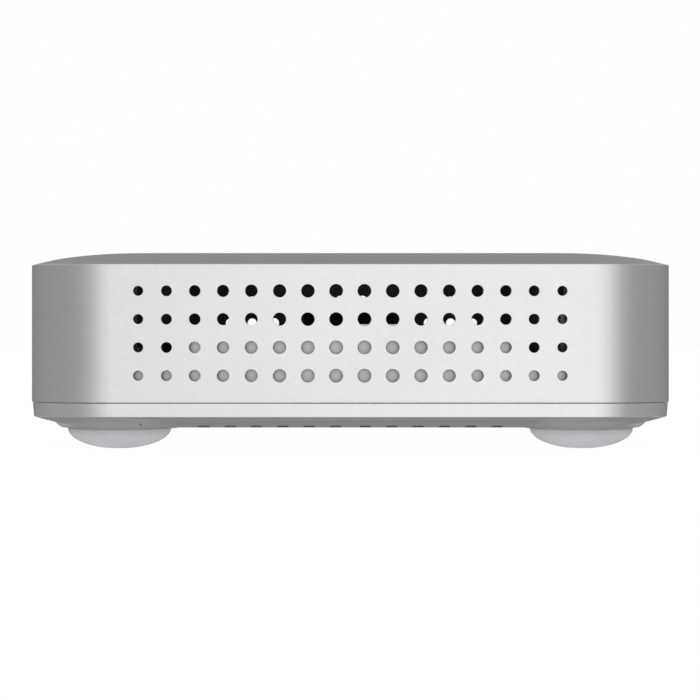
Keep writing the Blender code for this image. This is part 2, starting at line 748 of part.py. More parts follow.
def make_card_fixing(name, x, y):
    """The standoff under the board and the screw that holds a card's free end."""
    ring = [(1.2, UNDER_BOARD), (2.3, UNDER_BOARD), (2.3, CARD_Z + 0.7), (1.2, CARD_Z + 0.7)]
    turned(f"{name}_standoff", ring, (x, y, 0), "steel", steps=16, closed=True)
    screw(f"{name}_screw", (x, y, CARD_Z - 0.7), 2.4, 1.1, 0.9, 2.2, head_up=False)


def make_card(name, x, length, connector_y, chips):
    """A 22 mm wide card: its laminate, its chips and the connector it plugs into."""
    start = connector_y + 1.4
    bottom, top = CARD_Z - CARD_THICKNESS / 2, CARD_Z + CARD_THICKNESS / 2
    card = plate(name, 11.0, length / 2, 0.6, bottom, top, "board_laminate")
    card.location = metres((x, start + length / 2, 0))
    packages = []
    for chip_length, chip_y in chips:
        packages.append(((15.0, chip_length, 1.2), (x, start + chip_y, bottom - 0.5)))
    join(card, blocks(f"{name}_chips", packages))
    cut(card, rod(f"{name}_notch", 1.6, 4.0, (x, start + length, CARD_Z), sides=16))
    make_card_fixing(name.split("_")[0], x, start + length)


def make_card_connector(name, x, y):
    height = UNDER_BOARD - CARD_SOCKET_BOTTOM
    socket = block(name, (22.0, 5.4, height), (x, y - 0.6, UNDER_BOARD - height / 2), "black_plastic")
    cut(socket, block(f"{name}_slot", (23.6, 4.0, 1.5), (x, y + 3.0, CARD_Z)))


def make_storage_and_wireless():
    make_card_connector("ssd_connector", SSD_X, SSD_START)
    make_card("ssd_module", SSD_X, 80.0, SSD_START, ((14.0, 16.0), (18.0, 38.0), (18.0, 62.0)))
    make_card_connector("wifi_connector", WIFI_X, WIFI_START)
    make_card("wifi_card", WIFI_X, 30.0, WIFI_START, ((16.0, 15.0),))


def make_memory():
    height = UNDER_BOARD - RAM_SOCKET_BOTTOM
    level = RAM_SOCKET_BOTTOM + height / 2
    socket = block("ram_socket", (6.2, 73.4, height), (11.6, 0, level), "black_plastic")
    arms = [((4.0, 2.2, height - 0.6), (15.4, sign * 35.6, level)) for sign in (-1, 1)]
    join(socket, blocks("ram_socket_arms", arms))
    cut(socket, block("ram_socket_slot", (6.0, RAM_LENGTH + 0.8, 1.8), (14.9, 0, RAM_Z)))

    module = plate("ram_module", 15.0, RAM_LENGTH / 2, 0.4, RAM_Z - 0.5, RAM_Z + 0.5, "board_laminate")
    module.location = metres((27.3, 0, 0))
    chips = [((10.0, 12.5, 1.1), (28.0, y, RAM_Z - 0.95)) for y in (-25, -9, 9, 25)]
    join(module, blocks("ram_chips", chips))

    for end, sign in (("front", -1), ("rear", 1)):
        latch = block(f"ram_latch_{end}", (20.0, 1.4, 2.6), (LATCH_X, sign * LATCH_Y, RAM_Z), "steel")
        for vertex in latch.data.vertices:
            vertex.co.x += 9.4 * MM
        hook = ((2.6, 2.6, 0.7), (LATCH_X + 17.6, sign * (LATCH_Y - 1.4), RAM_Z - 0.95))
        join(latch, blocks(f"ram_latch_{end}_hook", [hook]))


def make_coin_cell():
    x, y = WIFI_X, -20.0
    holder = [(0.0, UNDER_BOARD), (11.2, UNDER_BOARD), (11.2, 7.8), (10.4, 7.8), (10.4, 9.8), (0.0, 9.8)]
    turned("coin_cell_holder", holder, (x, y, 0), "black_plastic", steps=24)
    cell = [(0.0, 9.5), (9.0, 9.5), (10.0, 9.1), (10.0, 6.3), (0.0, 6.3)]
    turned("coin_cell", cell, (x, y, 0), "steel", steps=24)


def make_antennas():
    """Two strips behind the plastic rear plate, each with a cable to the wireless card."""
    for hand, x in (("left", -25.0), ("right", -9.0)):
        strip = plate(f"antenna_{hand}", 7.0, 0.3, 0.2, 20.6, 26.6, "board_laminate")
        strip.location = metres((x, ANTENNA_Y, 0))
    left = antenna_path(-8.0, 37.1, -51.6, -32.4, 23.6, 23.6)
    right = antenna_path(-6.0, 38.3, -53.0, -16.4, 27.8, 26.4)
    wire("antenna_cable_left", left, ANTENNA_CABLE_RADIUS, "black_plastic")
    wire("antenna_cable_right", right, ANTENNA_CABLE_RADIUS, "black_plastic")


def antenna_path(start_x, lane_y, rise_x, end_x, high_z, end_z):
    """From the wireless card, along a lane under the board, up the side and across to a strip."""
    lane_z = 9.6
    return [
        (start_x, 35.0, lane_z - 0.6),
        (start_x, lane_y - 1.2, lane_z),
        (start_x - 1.5, lane_y, lane_z),
        (rise_x + 1.5, lane_y, lane_z),
        (rise_x, lane_y, lane_z + 1.5),
        (rise_x, lane_y, high_z - 2.0),
        (rise_x + 1.0, lane_y + 3.5, high_z),
        (-48.0, 49.2, high_z),
        (-43.0, 52.4, high_z),
        (end_x - 3.0, ANTENNA_Y - 1.6, high_z),
        (end_x, ANTENNA_Y - 1.6, end_z),
    ]


make_top_cover()
make_base_tray()
make_feet()
make_case_screws()
make_front_connectors()
make_rear_connectors()
make_rear_io_plate()
make_power_button()
make_main_board()
make_heatsink()
make_fan()
make_storage_and_wireless()
make_memory()
make_coin_cell()
make_antennas()
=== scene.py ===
"""The look of a palm-sized aluminium desktop computer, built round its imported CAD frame.

Units are metres unless a name or comment says otherwise. The frame's +X side is the vented
one that the camera sees, -Y is the front and +Y the rear.
"""
import math

import bmesh
import bpy
from mathutils import Matrix, Vector


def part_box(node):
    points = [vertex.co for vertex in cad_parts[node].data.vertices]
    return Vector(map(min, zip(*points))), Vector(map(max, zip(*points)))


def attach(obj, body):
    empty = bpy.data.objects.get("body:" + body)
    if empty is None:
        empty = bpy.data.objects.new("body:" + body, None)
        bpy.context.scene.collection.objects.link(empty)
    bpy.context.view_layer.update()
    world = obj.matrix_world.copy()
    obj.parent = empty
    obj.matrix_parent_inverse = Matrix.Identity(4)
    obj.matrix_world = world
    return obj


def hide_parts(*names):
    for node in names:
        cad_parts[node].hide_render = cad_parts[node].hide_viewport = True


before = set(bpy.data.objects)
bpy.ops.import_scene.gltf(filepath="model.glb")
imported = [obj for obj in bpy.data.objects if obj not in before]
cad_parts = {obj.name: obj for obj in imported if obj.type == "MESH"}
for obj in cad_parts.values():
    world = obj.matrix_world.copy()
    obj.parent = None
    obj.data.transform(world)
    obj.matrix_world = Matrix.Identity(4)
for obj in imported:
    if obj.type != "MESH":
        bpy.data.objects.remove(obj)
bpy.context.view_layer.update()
COLLECTION = bpy.context.scene.collection
MM = 0.001

# Case, read from the frame where a node gives it
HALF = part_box("top_cover")[1].x
LID_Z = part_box("top_cover")[1].z
UNDERSIDE_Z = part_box("base_tray")[0].z
SEAM_Z = 8.55 * MM
HALF_SEAM = 0.03 * MM
SEAM_EDGE = 0.09 * MM
# Inset and distance from the seam of each point, in seam edges
SEAM_EDGE_PROFILE = ((1.6, 0.0), (1.0, 0.25), (0.3, 0.6), (0.0, 1.1))
CORNER_LENGTH = 15.0 * MM
CORNER_DEPTH = 8.0 * MM
CORNER_STEPS = 20
SHELL_SHARP = 24
SHELL_WEIGHT = 80
PIECE_WEIGHT = 50

# Cover
WALL = 1.4 * MM
WALL_TOP_Z = LID_Z - 2.6 * MM
CROWN_RISE = LID_Z - WALL_TOP_Z
CROWN_WIDTH = 19.0 * MM
CROWN_STEPS = 18
CROWN_SPACING = 1.3
RIM_INSET = 0.035 * MM
POST_RADIUS = 3.2 * MM
POST_BOTTOM = 7.7 * MM
PORT_CUT = (-HALF - MM, -HALF + 3 * MM)
REAR_CUT = (HALF - 3 * MM, HALF + MM)
EXHAUST_SLOTS = 13
EXHAUST_PITCH = 6.6 * MM
EXHAUST_Z = 30.9 * MM
EXHAUST_SIZE = (4.2 * MM, 1.6 * MM)

# Side vents
VENT_COLUMNS = 16
VENT_ROWS = 4
VENT_PITCH = 5.0 * MM
VENT_FIRST_Z = 13.4 * MM
VENT_CENTRE_DIAMETER = 2.39 * MM
VENT_EDGE_DIAMETER = 1.73 * MM
VENT_TAPER = 1.5
VENT_LIP = 0.05 * MM
VENT_FLARE = 0.5 * MM

# Base tray; numbers without MM are in millimetres
UNDERSIDE_INSET = 11.6 * MM
UNDERSIDE_DROP = 2.31 * MM
UNDERSIDE_CURVE = 1.53
UNDERSIDE_STEPS = 20
TRAY_FLOOR_Z = UNDERSIDE_Z + 1.6 * MM
TRAY_LIP_OUTER = 1.8 * MM
TRAY_LIP_INNER = 3.4 * MM
TRAY_LIP_Z = 10.0 * MM
FACE_INSET = 0.16 * MM
BEND_INSET = 1.0 * MM
BEND_PROFILE = ((0.20, 0.34), (0.25, 0.24), (0.36, 0.17), (0.55, 0.10))
SEAT_PROFILE = (
    (10.1, 0.0),
    (10.6, 0.08),
    (11.0, 0.30),
    (11.4, 0.65),
    (11.8, 1.05),
    (12.2, 1.38),
    (12.6, 1.62),
)
BOARD_BOSS = (46.5 * MM, 32.0 * MM)
UPSTAND_INSET = 2.7 * MM
UPSTAND_BOTTOM = 9.0 * MM
INTAKE_ROWS = 6
INTAKE_FIRST = 2.7
INTAKE_PITCH = 4.75
INTAKE_WIDTH = 2.1 * MM
INTAKE_SPANS = ((-28.0, 28.0), (-44.8, -31.0), (31.0, 44.8), (-50.1, -45.8), (45.8, 50.1))
INTAKE_CUT = (2.0 * MM, 7.0 * MM)

# Feet
FOOT_LOW, FOOT_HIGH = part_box("foot_rear_right")
FOOT_POSITION = (FOOT_LOW.x + FOOT_HIGH.x) / 2
FOOT_RADIUS = (FOOT_HIGH.x - FOOT_LOW.x) / 2
FOOT_FLAT = 2.6 * MM
FOOT_STEPS = 26

# Button, sockets and boards
FRONT, REAR = -1, 1
BUTTON_FLANGE = 1.0 * MM
PORT_LIP = 0.12 * MM
USB_A_OPENING = (12.5 * MM, 5.1 * MM)
DC_JACK_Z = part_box("dc_jack")[0].z + 4.8 * MM
CHIP_RISE = 0.97 * MM

# Studio light; angles are in degrees, azimuth from +X and elevation from the horizon.
# Two angles are where a soft edge starts and ends, and two more numbers its values there.
FRONT_PANEL = 0.765
FRONT_LEFT = (-25.0, -6.0)
FRONT_RIGHT = (15.0, 31.5)
FRONT_TOP = (28, 46)
FRONT_TILT = (-25, 25, 0.90, 1.10)
REAR_FADE = (148, 168)
OVERHEAD_PANEL = 0.55
OVERHEAD_EDGE = (48, 66)
HIGH_SIDE_EDGE = (10, 30)
FLOOR_SHEEN = 0.24
SHEEN_TOP = (-12, -22)
SHEEN_BOTTOM = (-28, -40)
SHEEN_SIDE = (34, 52)
AROUND = (60, 170, 0.265, 0.212)
BELOW = (-20, -40, 0, 0.03)
NADIR = (-52, -66, 0, 0.05)
FLOOR_BOUNCE = (8, -30, 0, 0.8)
LAMP_WATTS = 0.014
LAMP_RADIUS = 0.003
LAMP_PLACE = (-0.005, 0.002, 0.0315)

# Camera; the lens is in millimetres and the shift in picture widths
CAMERA_LENS = 117.0
CAMERA_SHIFT = (-0.0077, -0.0190)
CAMERA_PLACE = (HALF + 0.402, 0.0009, 0.0203)


# ---------------------------------------------------------------- node helpers

class Graph:
    """Short ways to add, feed and link nodes in a tree."""

    def __init__(self, tree):
        self.tree = tree

    def add(self, kind, **settings):
        node = self.tree.nodes.new(kind)
        for key, value in settings.items():
            setattr(node, key, value)
        return node

    def feed(self, socket, value):
        """Link an output to a socket, or give the socket a colour or a number."""
        if isinstance(value, bpy.types.NodeSocket):
            self.tree.links.new(value, socket)
        elif isinstance(value, tuple):
            socket.default_value = (*value, 1)
        else:
            socket.default_value = value

    def maths(self, operation, first, second=0.0):
        node = self.add("ShaderNodeMath", operation=operation)
        self.feed(node.inputs[0], first)
        self.feed(node.inputs[1], second)
        return node.outputs[0]

    def ramp(self, value, from_low, from_high, low=0.0, high=1.0, ease="LINEAR"):
        """Map one range onto another, held at its ends."""
        node = self.add("ShaderNodeMapRange", interpolation_type=ease)
        self.feed(node.inputs["Value"], value)
        limits = {"From Min": from_low, "From Max": from_high, "To Min": low, "To Max": high}
        for key, number in limits.items():
            node.inputs[key].default_value = number
        return node.outputs["Result"]

    def blend(self, factor, first, second):
        """Mix two shaders."""
        node = self.add("ShaderNodeMixShader")
        for socket, value in zip(node.inputs, (factor, first, second)):
            self.feed(socket, value)
        return node.outputs[0]


class Surface(Graph):
    """A principled material whose patterns follow the object's own coordinates."""

    def __init__(self, name):
        self.material = bpy.data.materials.new(name)
        self.material.use_nodes = True
        super().__init__(self.material.node_tree)
        self.shader = self.tree.nodes["Principled BSDF"]
        self.coords = self.add("ShaderNodeTexCoord").outputs["Object"]

    def noise(self, scale, detail=3.0, stretch=(1, 1, 1)):
        mapping = self.add("ShaderNodeMapping")
        mapping.inputs["Scale"].default_value = stretch
        self.feed(mapping.inputs["Vector"], self.coords)
        node = self.add("ShaderNodeTexNoise")
        self.feed(node.inputs["Scale"], scale)
        self.feed(node.inputs["Detail"], detail)
        self.feed(node.inputs["Vector"], mapping.outputs["Vector"])
        return node.outputs["Fac"]

    def spread(self, source, low, high, from_low=0.3, from_high=0.7):
        """Map a pattern onto a range; noise itself seldom leaves 0.3 to 0.7."""
        return self.ramp(source, from_low, from_high, low, high)

    def mix(self, factor, first, second):
        node = self.add("ShaderNodeMix", data_type="RGBA")
        self.feed(node.inputs["Factor"], factor)
        self.feed(node.inputs["A"], first)
        self.feed(node.inputs["B"], second)
        return node.outputs["Result"]

    def bump(self, height, distance, strength=1.0, below=None):
        node = self.add("ShaderNodeBump")
        self.feed(node.inputs["Distance"], distance)
        self.feed(node.inputs["Strength"], strength)
        self.feed(node.inputs["Height"], height)
        if below:
            self.feed(node.inputs["Normal"], below)
        return node.outputs["Normal"]

    def set(self, **values):
        for key, value in values.items():
            self.feed(self.shader.inputs[key.replace("_", " ")], value)


# ---------------------------------------------------------------- materials

def blasted_aluminium(name, colour, roughness):
    """Clear-anodised aluminium with a bead-blasted grain and a slow drift in sheen."""
    surface = Surface(name)
    grain = surface.noise(5200, 2.0)
    mottle = surface.noise(900, 3.0)
    drift = surface.noise(45, 2.0)
    dull = tuple(channel * 0.965 for channel in colour)
    tone = surface.mix(surface.spread(mottle, 0, 1), colour, dull)
    surface.set(Base_Color=tone, Metallic=1.0)
    surface.set(Roughness=surface.spread(drift, roughness - 0.015, roughness + 0.02))
    coarse = surface.bump(mottle, 0.000004, 0.5)
    surface.set(Normal=surface.bump(grain, 0.000004, 0.8, coarse))
    return surface.material


def machined_metal(name, colour, roughness, stretch=(1, 14, 14), scale=700):
    """Plated or turned metal with fine directional lines."""
    surface = Surface(name)
    lines = surface.noise(scale, 3.0, stretch)
    tint = tuple(channel * 0.82 for channel in colour)
    tone = surface.mix(surface.spread(lines, 0, 1), colour, tint)
    surface.set(Base_Color=tone, Metallic=1.0)
    surface.set(Roughness=surface.spread(lines, roughness - 0.06, roughness + 0.08))
    surface.set(Normal=surface.bump(lines, 0.000003, 0.6))
    return surface.material


def moulded_plastic(name, colour, roughness, grain_scale=2600, depth=0.000010):
    """Spark-eroded plastic: a fine pebble grain over a slight drift in tone."""
    surface = Surface(name)
    grain = surface.noise(grain_scale, 2.0)
    drift = surface.noise(60, 2.0)
    light = tuple(min(1.0, channel * 1.25 + 0.002) for channel in colour)
    surface.set(Base_Color=surface.mix(surface.spread(drift, 0, 1), colour, light))
    surface.set(Roughness=surface.spread(grain, roughness - 0.05, roughness + 0.08))
    surface.set(Normal=surface.bump(grain, depth, 0.6))
    return surface.material


def foot_rubber():
    """Smoky translucent rubber with a faint bloom on its surface."""
    surface = Surface("foot_rubber")
    bloom = surface.noise(260, 4.0)
    grain = surface.noise(3000, 2.0)
    smoke, haze = (0.485, 0.495, 0.515), (0.52, 0.53, 0.55)
    surface.set(Base_Color=surface.mix(surface.spread(bloom, 0, 1), smoke, haze))
    surface.set(Roughness=surface.spread(bloom, 0.40, 0.50))
    surface.set(Subsurface_Weight=0.25, Subsurface_Scale=0.004)
    surface.set(Normal=surface.bump(grain, 0.000006, 0.4))
    return surface.material


def circuit_board(name, packages_below=0.0):
    """Solder mask with fine traces and plated points, and black packages under a height."""
    surface = Surface(name)
    wave = surface.add("ShaderNodeTexWave", wave_type="BANDS", bands_direction="DIAGONAL")
    surface.feed(wave.inputs["Scale"], 420)
    surface.feed(wave.inputs["Distortion"], 3.0)
    surface.feed(wave.inputs["Detail"], 1.0)
    surface.feed(wave.inputs["Vector"], surface.coords)
    cells = surface.add("ShaderNodeTexVoronoi", feature="F1", distance="CHEBYCHEV")
    surface.feed(cells.inputs["Scale"], 260)
    surface.feed(cells.inputs["Vector"], surface.coords)
    traces = surface.spread(wave.outputs["Fac"], 0, 1, 0.45, 0.6)
    points = surface.spread(cells.outputs["Distance"], 1, 0, 0.16, 0.2)
    place = surface.add("ShaderNodeSeparateXYZ")
    surface.feed(place.inputs[0], surface.coords)
    bare = surface.maths("GREATER_THAN", place.outputs["Z"], packages_below)
    pattern = surface.maths("MULTIPLY", surface.maths("MAXIMUM", traces, points), bare)
    laminate = surface.mix(pattern, SOLDER_MASK, COPPER_TRACE)
    surface.set(Base_Color=surface.mix(bare, PACKAGE_BLACK, laminate), Roughness=0.38)
    surface.set(Normal=surface.bump(pattern, 0.00003, 0.5), Coat_Weight=0.3)
    return surface.material


def frosted_light_guide():
    """Milky plastic with a little light of its own."""
    surface = Surface("light_guide")
    haze = surface.noise(1500, 3.0)
    clear, milky = (0.80, 0.84, 0.88), (0.70, 0.75, 0.80)
    surface.set(Base_Color=surface.mix(surface.spread(haze, 0, 1), clear, milky))
    surface.set(Roughness=surface.spread(haze, 0.25, 0.40))
    surface.set(Subsurface_Weight=0.3, Subsurface_Scale=0.002)
    surface.set(Emission_Color=(0.75, 0.87, 1.0), Emission_Strength=0.15)
    return surface.material


PACKAGE_BLACK = (0.02, 0.02, 0.022)
SOLDER_MASK = (0.006, 0.022, 0.014)
COPPER_TRACE = (0.012, 0.045, 0.026)

ALUMINIUM = blasted_aluminium("cover_aluminium", (0.90, 0.90, 0.90), 0.33)
# A little lighter than the cover's aluminium, to make up for the dimmer light the base gets:
# painted light
TRAY_ALUMINIUM = blasted_aluminium("base_aluminium", (0.93, 0.93, 0.935), 0.34)
# A darker copy of the base's aluminium for the strips behind the vents: painted shade
SHADED_UPSTAND_METAL = blasted_aluminium("upstand_metal_painted_shade", (0.68, 0.68, 0.68), 0.42)
# Black for the cover's inside, its screw posts and socket bores: partly a black lining, partly
# painted shade in the case's hollows
LINING_AND_SHADE = moulded_plastic("black_lining_and_painted_shade", (0.016, 0.016, 0.016), 0.7)
HOUSING = moulded_plastic("grey_housing", (0.30, 0.30, 0.30), 0.5)
# Near-black paint on the walls of the side vents and the pin hole: painted shade inside holes in
# the aluminium
SHADED_VENT_WALL = moulded_plastic("vent_wall_painted_shade", (0.035, 0.035, 0.035), 0.5)
# Dark grey paint on the intake slots' walls: painted shade, so the slots read dark
SHADED_SLOT_WALL = moulded_plastic("slot_wall_painted_shade", (0.1, 0.1, 0.1), 0.5)
RUBBER = foot_rubber()
BLACK_PLASTIC = moulded_plastic("black_plastic", (0.018, 0.018, 0.019), 0.45)
FIN_METAL = machined_metal("heatsink_aluminium", (0.030, 0.030, 0.032), 0.45, (2, 14, 14))
NICKEL = machined_metal("connector_steel", (0.66, 0.65, 0.62), 0.27)
SCREW_STEEL = machined_metal("screw_steel", (0.20, 0.20, 0.21), 0.32, (1, 1, 8))
GOLD = machined_metal("contact_gold", (0.83, 0.62, 0.28), 0.25)
BRONZE = machined_metal("bearing_bronze", (0.60, 0.42, 0.20), 0.40)
BOARD = circuit_board("board_laminate")
CARD = circuit_board("card_laminate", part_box("ssd_module")[0].z + CHIP_RISE)
MEMORY = circuit_board("memory_laminate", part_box("ram_module")[0].z + CHIP_RISE)
CHIP = moulded_plastic("chip_package", PACKAGE_BLACK, 0.4, 4200)
LIGHT_GUIDE = frosted_light_guide()
LED_GREEN = moulded_plastic("led_green", (0.05, 0.30, 0.08), 0.25, 900)
LED_AMBER = moulded_plastic("led_amber", (0.45, 0.22, 0.03), 0.25, 900)

# The first word found in a CAD node's name gives its material; anything else is black plastic
NODE_MATERIALS = (
    ("screw", SCREW_STEEL),
    ("standoff", SCREW_STEEL),
    ("heatsink", FIN_METAL),
    ("bearing", BRONZE),
    ("main_board", BOARD),
    ("ram_module", MEMORY),
    ("ssd_module", CARD),
    ("card", CARD),
    ("antenna_left", BOARD),
    ("antenna_right", BOARD),
    ("cpu", CHIP),
    ("coil", CHIP),
    ("shaft", NICKEL),
    ("latch", NICKEL),
    ("holder", BLACK_PLASTIC),
    ("coin_cell", NICKEL),
)


# ---------------------------------------------------------------- mesh helpers

class Shape:
    """Collects solids in one mesh, each with its own material."""

    def __init__(self):
        self.bm = bmesh.new()
        self.materials = []

    def slot(self, material):
        if material not in self.materials:
            self.materials.append(material)
        return self.materials.index(material)

    def paint(self, faces, material):
        slot = self.slot(material)
        for face in faces:
            face.material_index = slot

    def box(self, size, centre, material, bevel=0.0, steps=2, turn=None):
        matrix = Matrix.Translation(centre)
        if turn:
            matrix = matrix @ turn
        matrix = matrix @ Matrix.Diagonal((*size, 1.0))
        made = bmesh.ops.create_cube(self.bm, size=1.0, matrix=matrix)
        faces = {face for vert in made["verts"] for face in vert.link_faces}
        self.paint(faces, material)
        if bevel:
            edges = list({edge for face in faces for edge in face.edges})
            limits = {"offset": bevel, "segments": steps, "profile": 0.5}
            bmesh.ops.bevel(self.bm, geom=edges, affect="EDGES", **limits)

    def loft(self, rings, material, slots=None, caps=True):
        """Skin equal-sized rings; slots gives another material to some of the bands."""
        slots = slots or {}
        loops = [[self.bm.verts.new(point) for point in ring] for ring in rings]
        count = len(loops[0])
        for band, (lower, upper) in enumerate(zip(loops, loops[1:])):
            faces = []
            for index in range(count):
                after = (index + 1) % count
                quad = (lower[index], lower[after], upper[after], upper[index])
                faces.append(self.bm.faces.new(quad))
            self.paint(faces, slots.get(band, material))
        if caps:
            for loop, band in ((loops[0], 0), (loops[-1], len(loops) - 2)):
                self.paint([self.bm.faces.new(loop)], slots.get(band, material))

    def turned(self, profile, centre, axis, material, sides=48, slots=None, caps=True):
        """Revolve (radius, height) points about an axis through centre."""
        rings = [circle(radius, height, centre, axis, sides) for radius, height in profile]
        self.loft(rings, material, slots, caps)

    def rod(self, radius, span, centre, axis, material, sides):
        self.turned([(radius, height) for height in span], centre, axis, material, sides)

    def window(self, size, centre, radius, span, material, steps=6):
        """A rounded rectangle through a front or rear wall, from one depth to another."""
        points = outline(rectangle(size, centre), radius, steps)
        self.loft([wall_ring(points, y) for y in span], material)

    def absorb(self, obj):
        """Take in another object's mesh with its materials, and drop the object."""
        slots = [self.slot(material) for material in obj.data.materials]
        known = len(self.bm.faces)
        self.bm.from_mesh(obj.data)
        self.bm.faces.ensure_lookup_table()
        for face in self.bm.faces[known:]:
            face.material_index = slots[face.material_index]
        bpy.data.objects.remove(obj)

    def solid(self, name):
        """End the collection as one object."""
        bmesh.ops.recalc_face_normals(self.bm, faces=self.bm.faces)
        mesh = bpy.data.meshes.new(name)
        self.bm.to_mesh(mesh)
        self.bm.free()
        for material in self.materials:
            mesh.materials.append(material)
        obj = bpy.data.objects.new(name, mesh)
        COLLECTION.objects.link(obj)
        smooth(obj)
        return obj


def smooth(obj, sharp=30):
    obj.data.shade_smooth()
    obj.data.set_sharp_from_angle(angle=math.radians(sharp))


def show(obj, node, body="chassis", weight=0):
    """Put a piece on its body in a CAD node's place; a weight keeps its flat faces flat."""
    if weight:
        normals = obj.modifiers.new("Normals", "WEIGHTED_NORMAL")
        normals.keep_sharp = True
        normals.weight = weight
    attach(obj, body)
    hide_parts(node)


def combine(obj, helper, operation):
    """Join a helper to an object or cut it away now, and drop the helper."""
    step = obj.modifiers.new("Combine", "BOOLEAN")
    step.operation = operation
    step.solver = "EXACT"
    step.material_mode = "TRANSFER"
    step.object = helper
    bpy.context.view_layer.update()
    evaluated = obj.evaluated_get(bpy.context.evaluated_depsgraph_get())
    mesh = bpy.data.meshes.new_from_object(evaluated)
    obj.modifiers.clear()
    obj.data = mesh
    bpy.data.objects.remove(helper)


def unite(obj, shape):
    combine(obj, shape.solid("union"), "UNION")


def subtract(obj, shape):
    combine(obj, shape.solid("cut"), "DIFFERENCE")


def circle(radius, height, centre, axis, sides):
    """Points of a circle round an axis through centre, at a height along that axis."""
    points = []
    for index in range(sides):
        angle = math.tau * index / sides
        across, up = radius * math.cos(angle), radius * math.sin(angle)
        local = {"X": (height, across, up), "Y": (up, height, across), "Z": (across, up, height)}
        points.append(Vector(centre) + Vector(local[axis]))
    return points


def shell_ring(inset, z):
    """The case's outline at height z, moved inwards: a square with elliptical corners."""
    length = max(CORNER_LENGTH - inset, 4.0 * MM)
    depth = max(CORNER_DEPTH - inset, 3.0 * MM)
    half = HALF - inset
    points = []
    for quarter, (sign_x, sign_y) in enumerate(((1, 1), (-1, 1), (-1, -1), (1, -1))):
        centre_x, centre_y = sign_x * (half - depth), sign_y * (half - length)
        for step in range(CORNER_STEPS + 1):
            angle = math.radians(90) * (quarter + step / CORNER_STEPS)
            x = centre_x + depth * math.cos(angle)
            y = centre_y + length * math.sin(angle)
            points.append((x, y, z))
    return points


def shell_rings(profile):
    return [shell_ring(inset, z) for inset, z in profile]


def seam_edge(face, z, way):
    """Profile points that round a shell's edge from the seam, at z, onto its face."""
    points = []
    for inset, along in SEAM_EDGE_PROFILE:
        points.append((face + SEAM_EDGE * inset, z + way * SEAM_EDGE * along))
    return points


def outline(corners, radius, steps=4):
    """Round the corners of a flat outline of (x, z) points."""
    points = []
    count = len(corners)
    for index, corner in enumerate(corners):
        here = Vector(corner)
        back = Vector(corners[index - 1]) - here
        ahead = Vector(corners[(index + 1) % count]) - here
        reach = min(radius, back.length * 0.45, ahead.length * 0.45)
        start = here + back.normalized() * reach
        end = here + ahead.normalized() * reach
        for step in range(steps + 1):
            t = step / steps
            points.append(start * (1 - t) ** 2 + here * 2 * t * (1 - t) + end * t ** 2)
    return points


def rectangle(size, centre):
    x, z = size[0] / 2, size[1] / 2
    return [(centre[0] + dx, centre[1] + dz) for dx, dz in ((x, z), (-x, z), (-x, -z), (x, -z))]


def grown(size, margin):
    return (size[0] + margin, size[1] + margin)


def wall_ring(points, y):
    return [(point[0], y, point[1]) for point in points]


def four_corners(x, y):
    return [(sign_x * x, sign_y * y) for sign_y in (-1, 1) for sign_x in (-1, 1)]


def box_of(node):
    low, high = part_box(node)
    return (low + high) / 2, high - low


def wall_box(node):
    """A node's centre and size as seen from the front or rear: (x, z) pairs."""
    centre, size = box_of(node)
    return (centre.x, centre.z), (size.x, size.z)


# ---------------------------------------------------------------- case

SCREW_CORNERS = four_corners(FOOT_POSITION, FOOT_POSITION)


def lid_height(inset):
    """The lid's height, which rises from the wall's top to a flat middle."""
    rest = max(0.0, 1.0 - inset / CROWN_WIDTH)
    return WALL_TOP_Z + CROWN_RISE * (1.0 - rest ** 2)


def underside_height(inset):
    """The underside's height, which falls from the base's edge to a flat middle."""
    rest = max(0.0, 1.0 - inset / UNDERSIDE_INSET)
    return UNDERSIDE_Z + UNDERSIDE_DROP * rest ** UNDERSIDE_CURVE


def vent_positions():
    """Each vent's radius, place along the wall and height; holes shrink towards the ends."""
    middle = (VENT_COLUMNS - 1) / 2
    for column in range(VENT_COLUMNS):
        offset = column - middle
        share = ((abs(offset) - 0.5) / (middle - 0.5)) ** VENT_TAPER
        diameter = VENT_CENTRE_DIAMETER + share * (VENT_EDGE_DIAMETER - VENT_CENTRE_DIAMETER)
        for row in range(VENT_ROWS):
            yield diameter / 2, offset * VENT_PITCH, VENT_FIRST_Z + row * VENT_PITCH


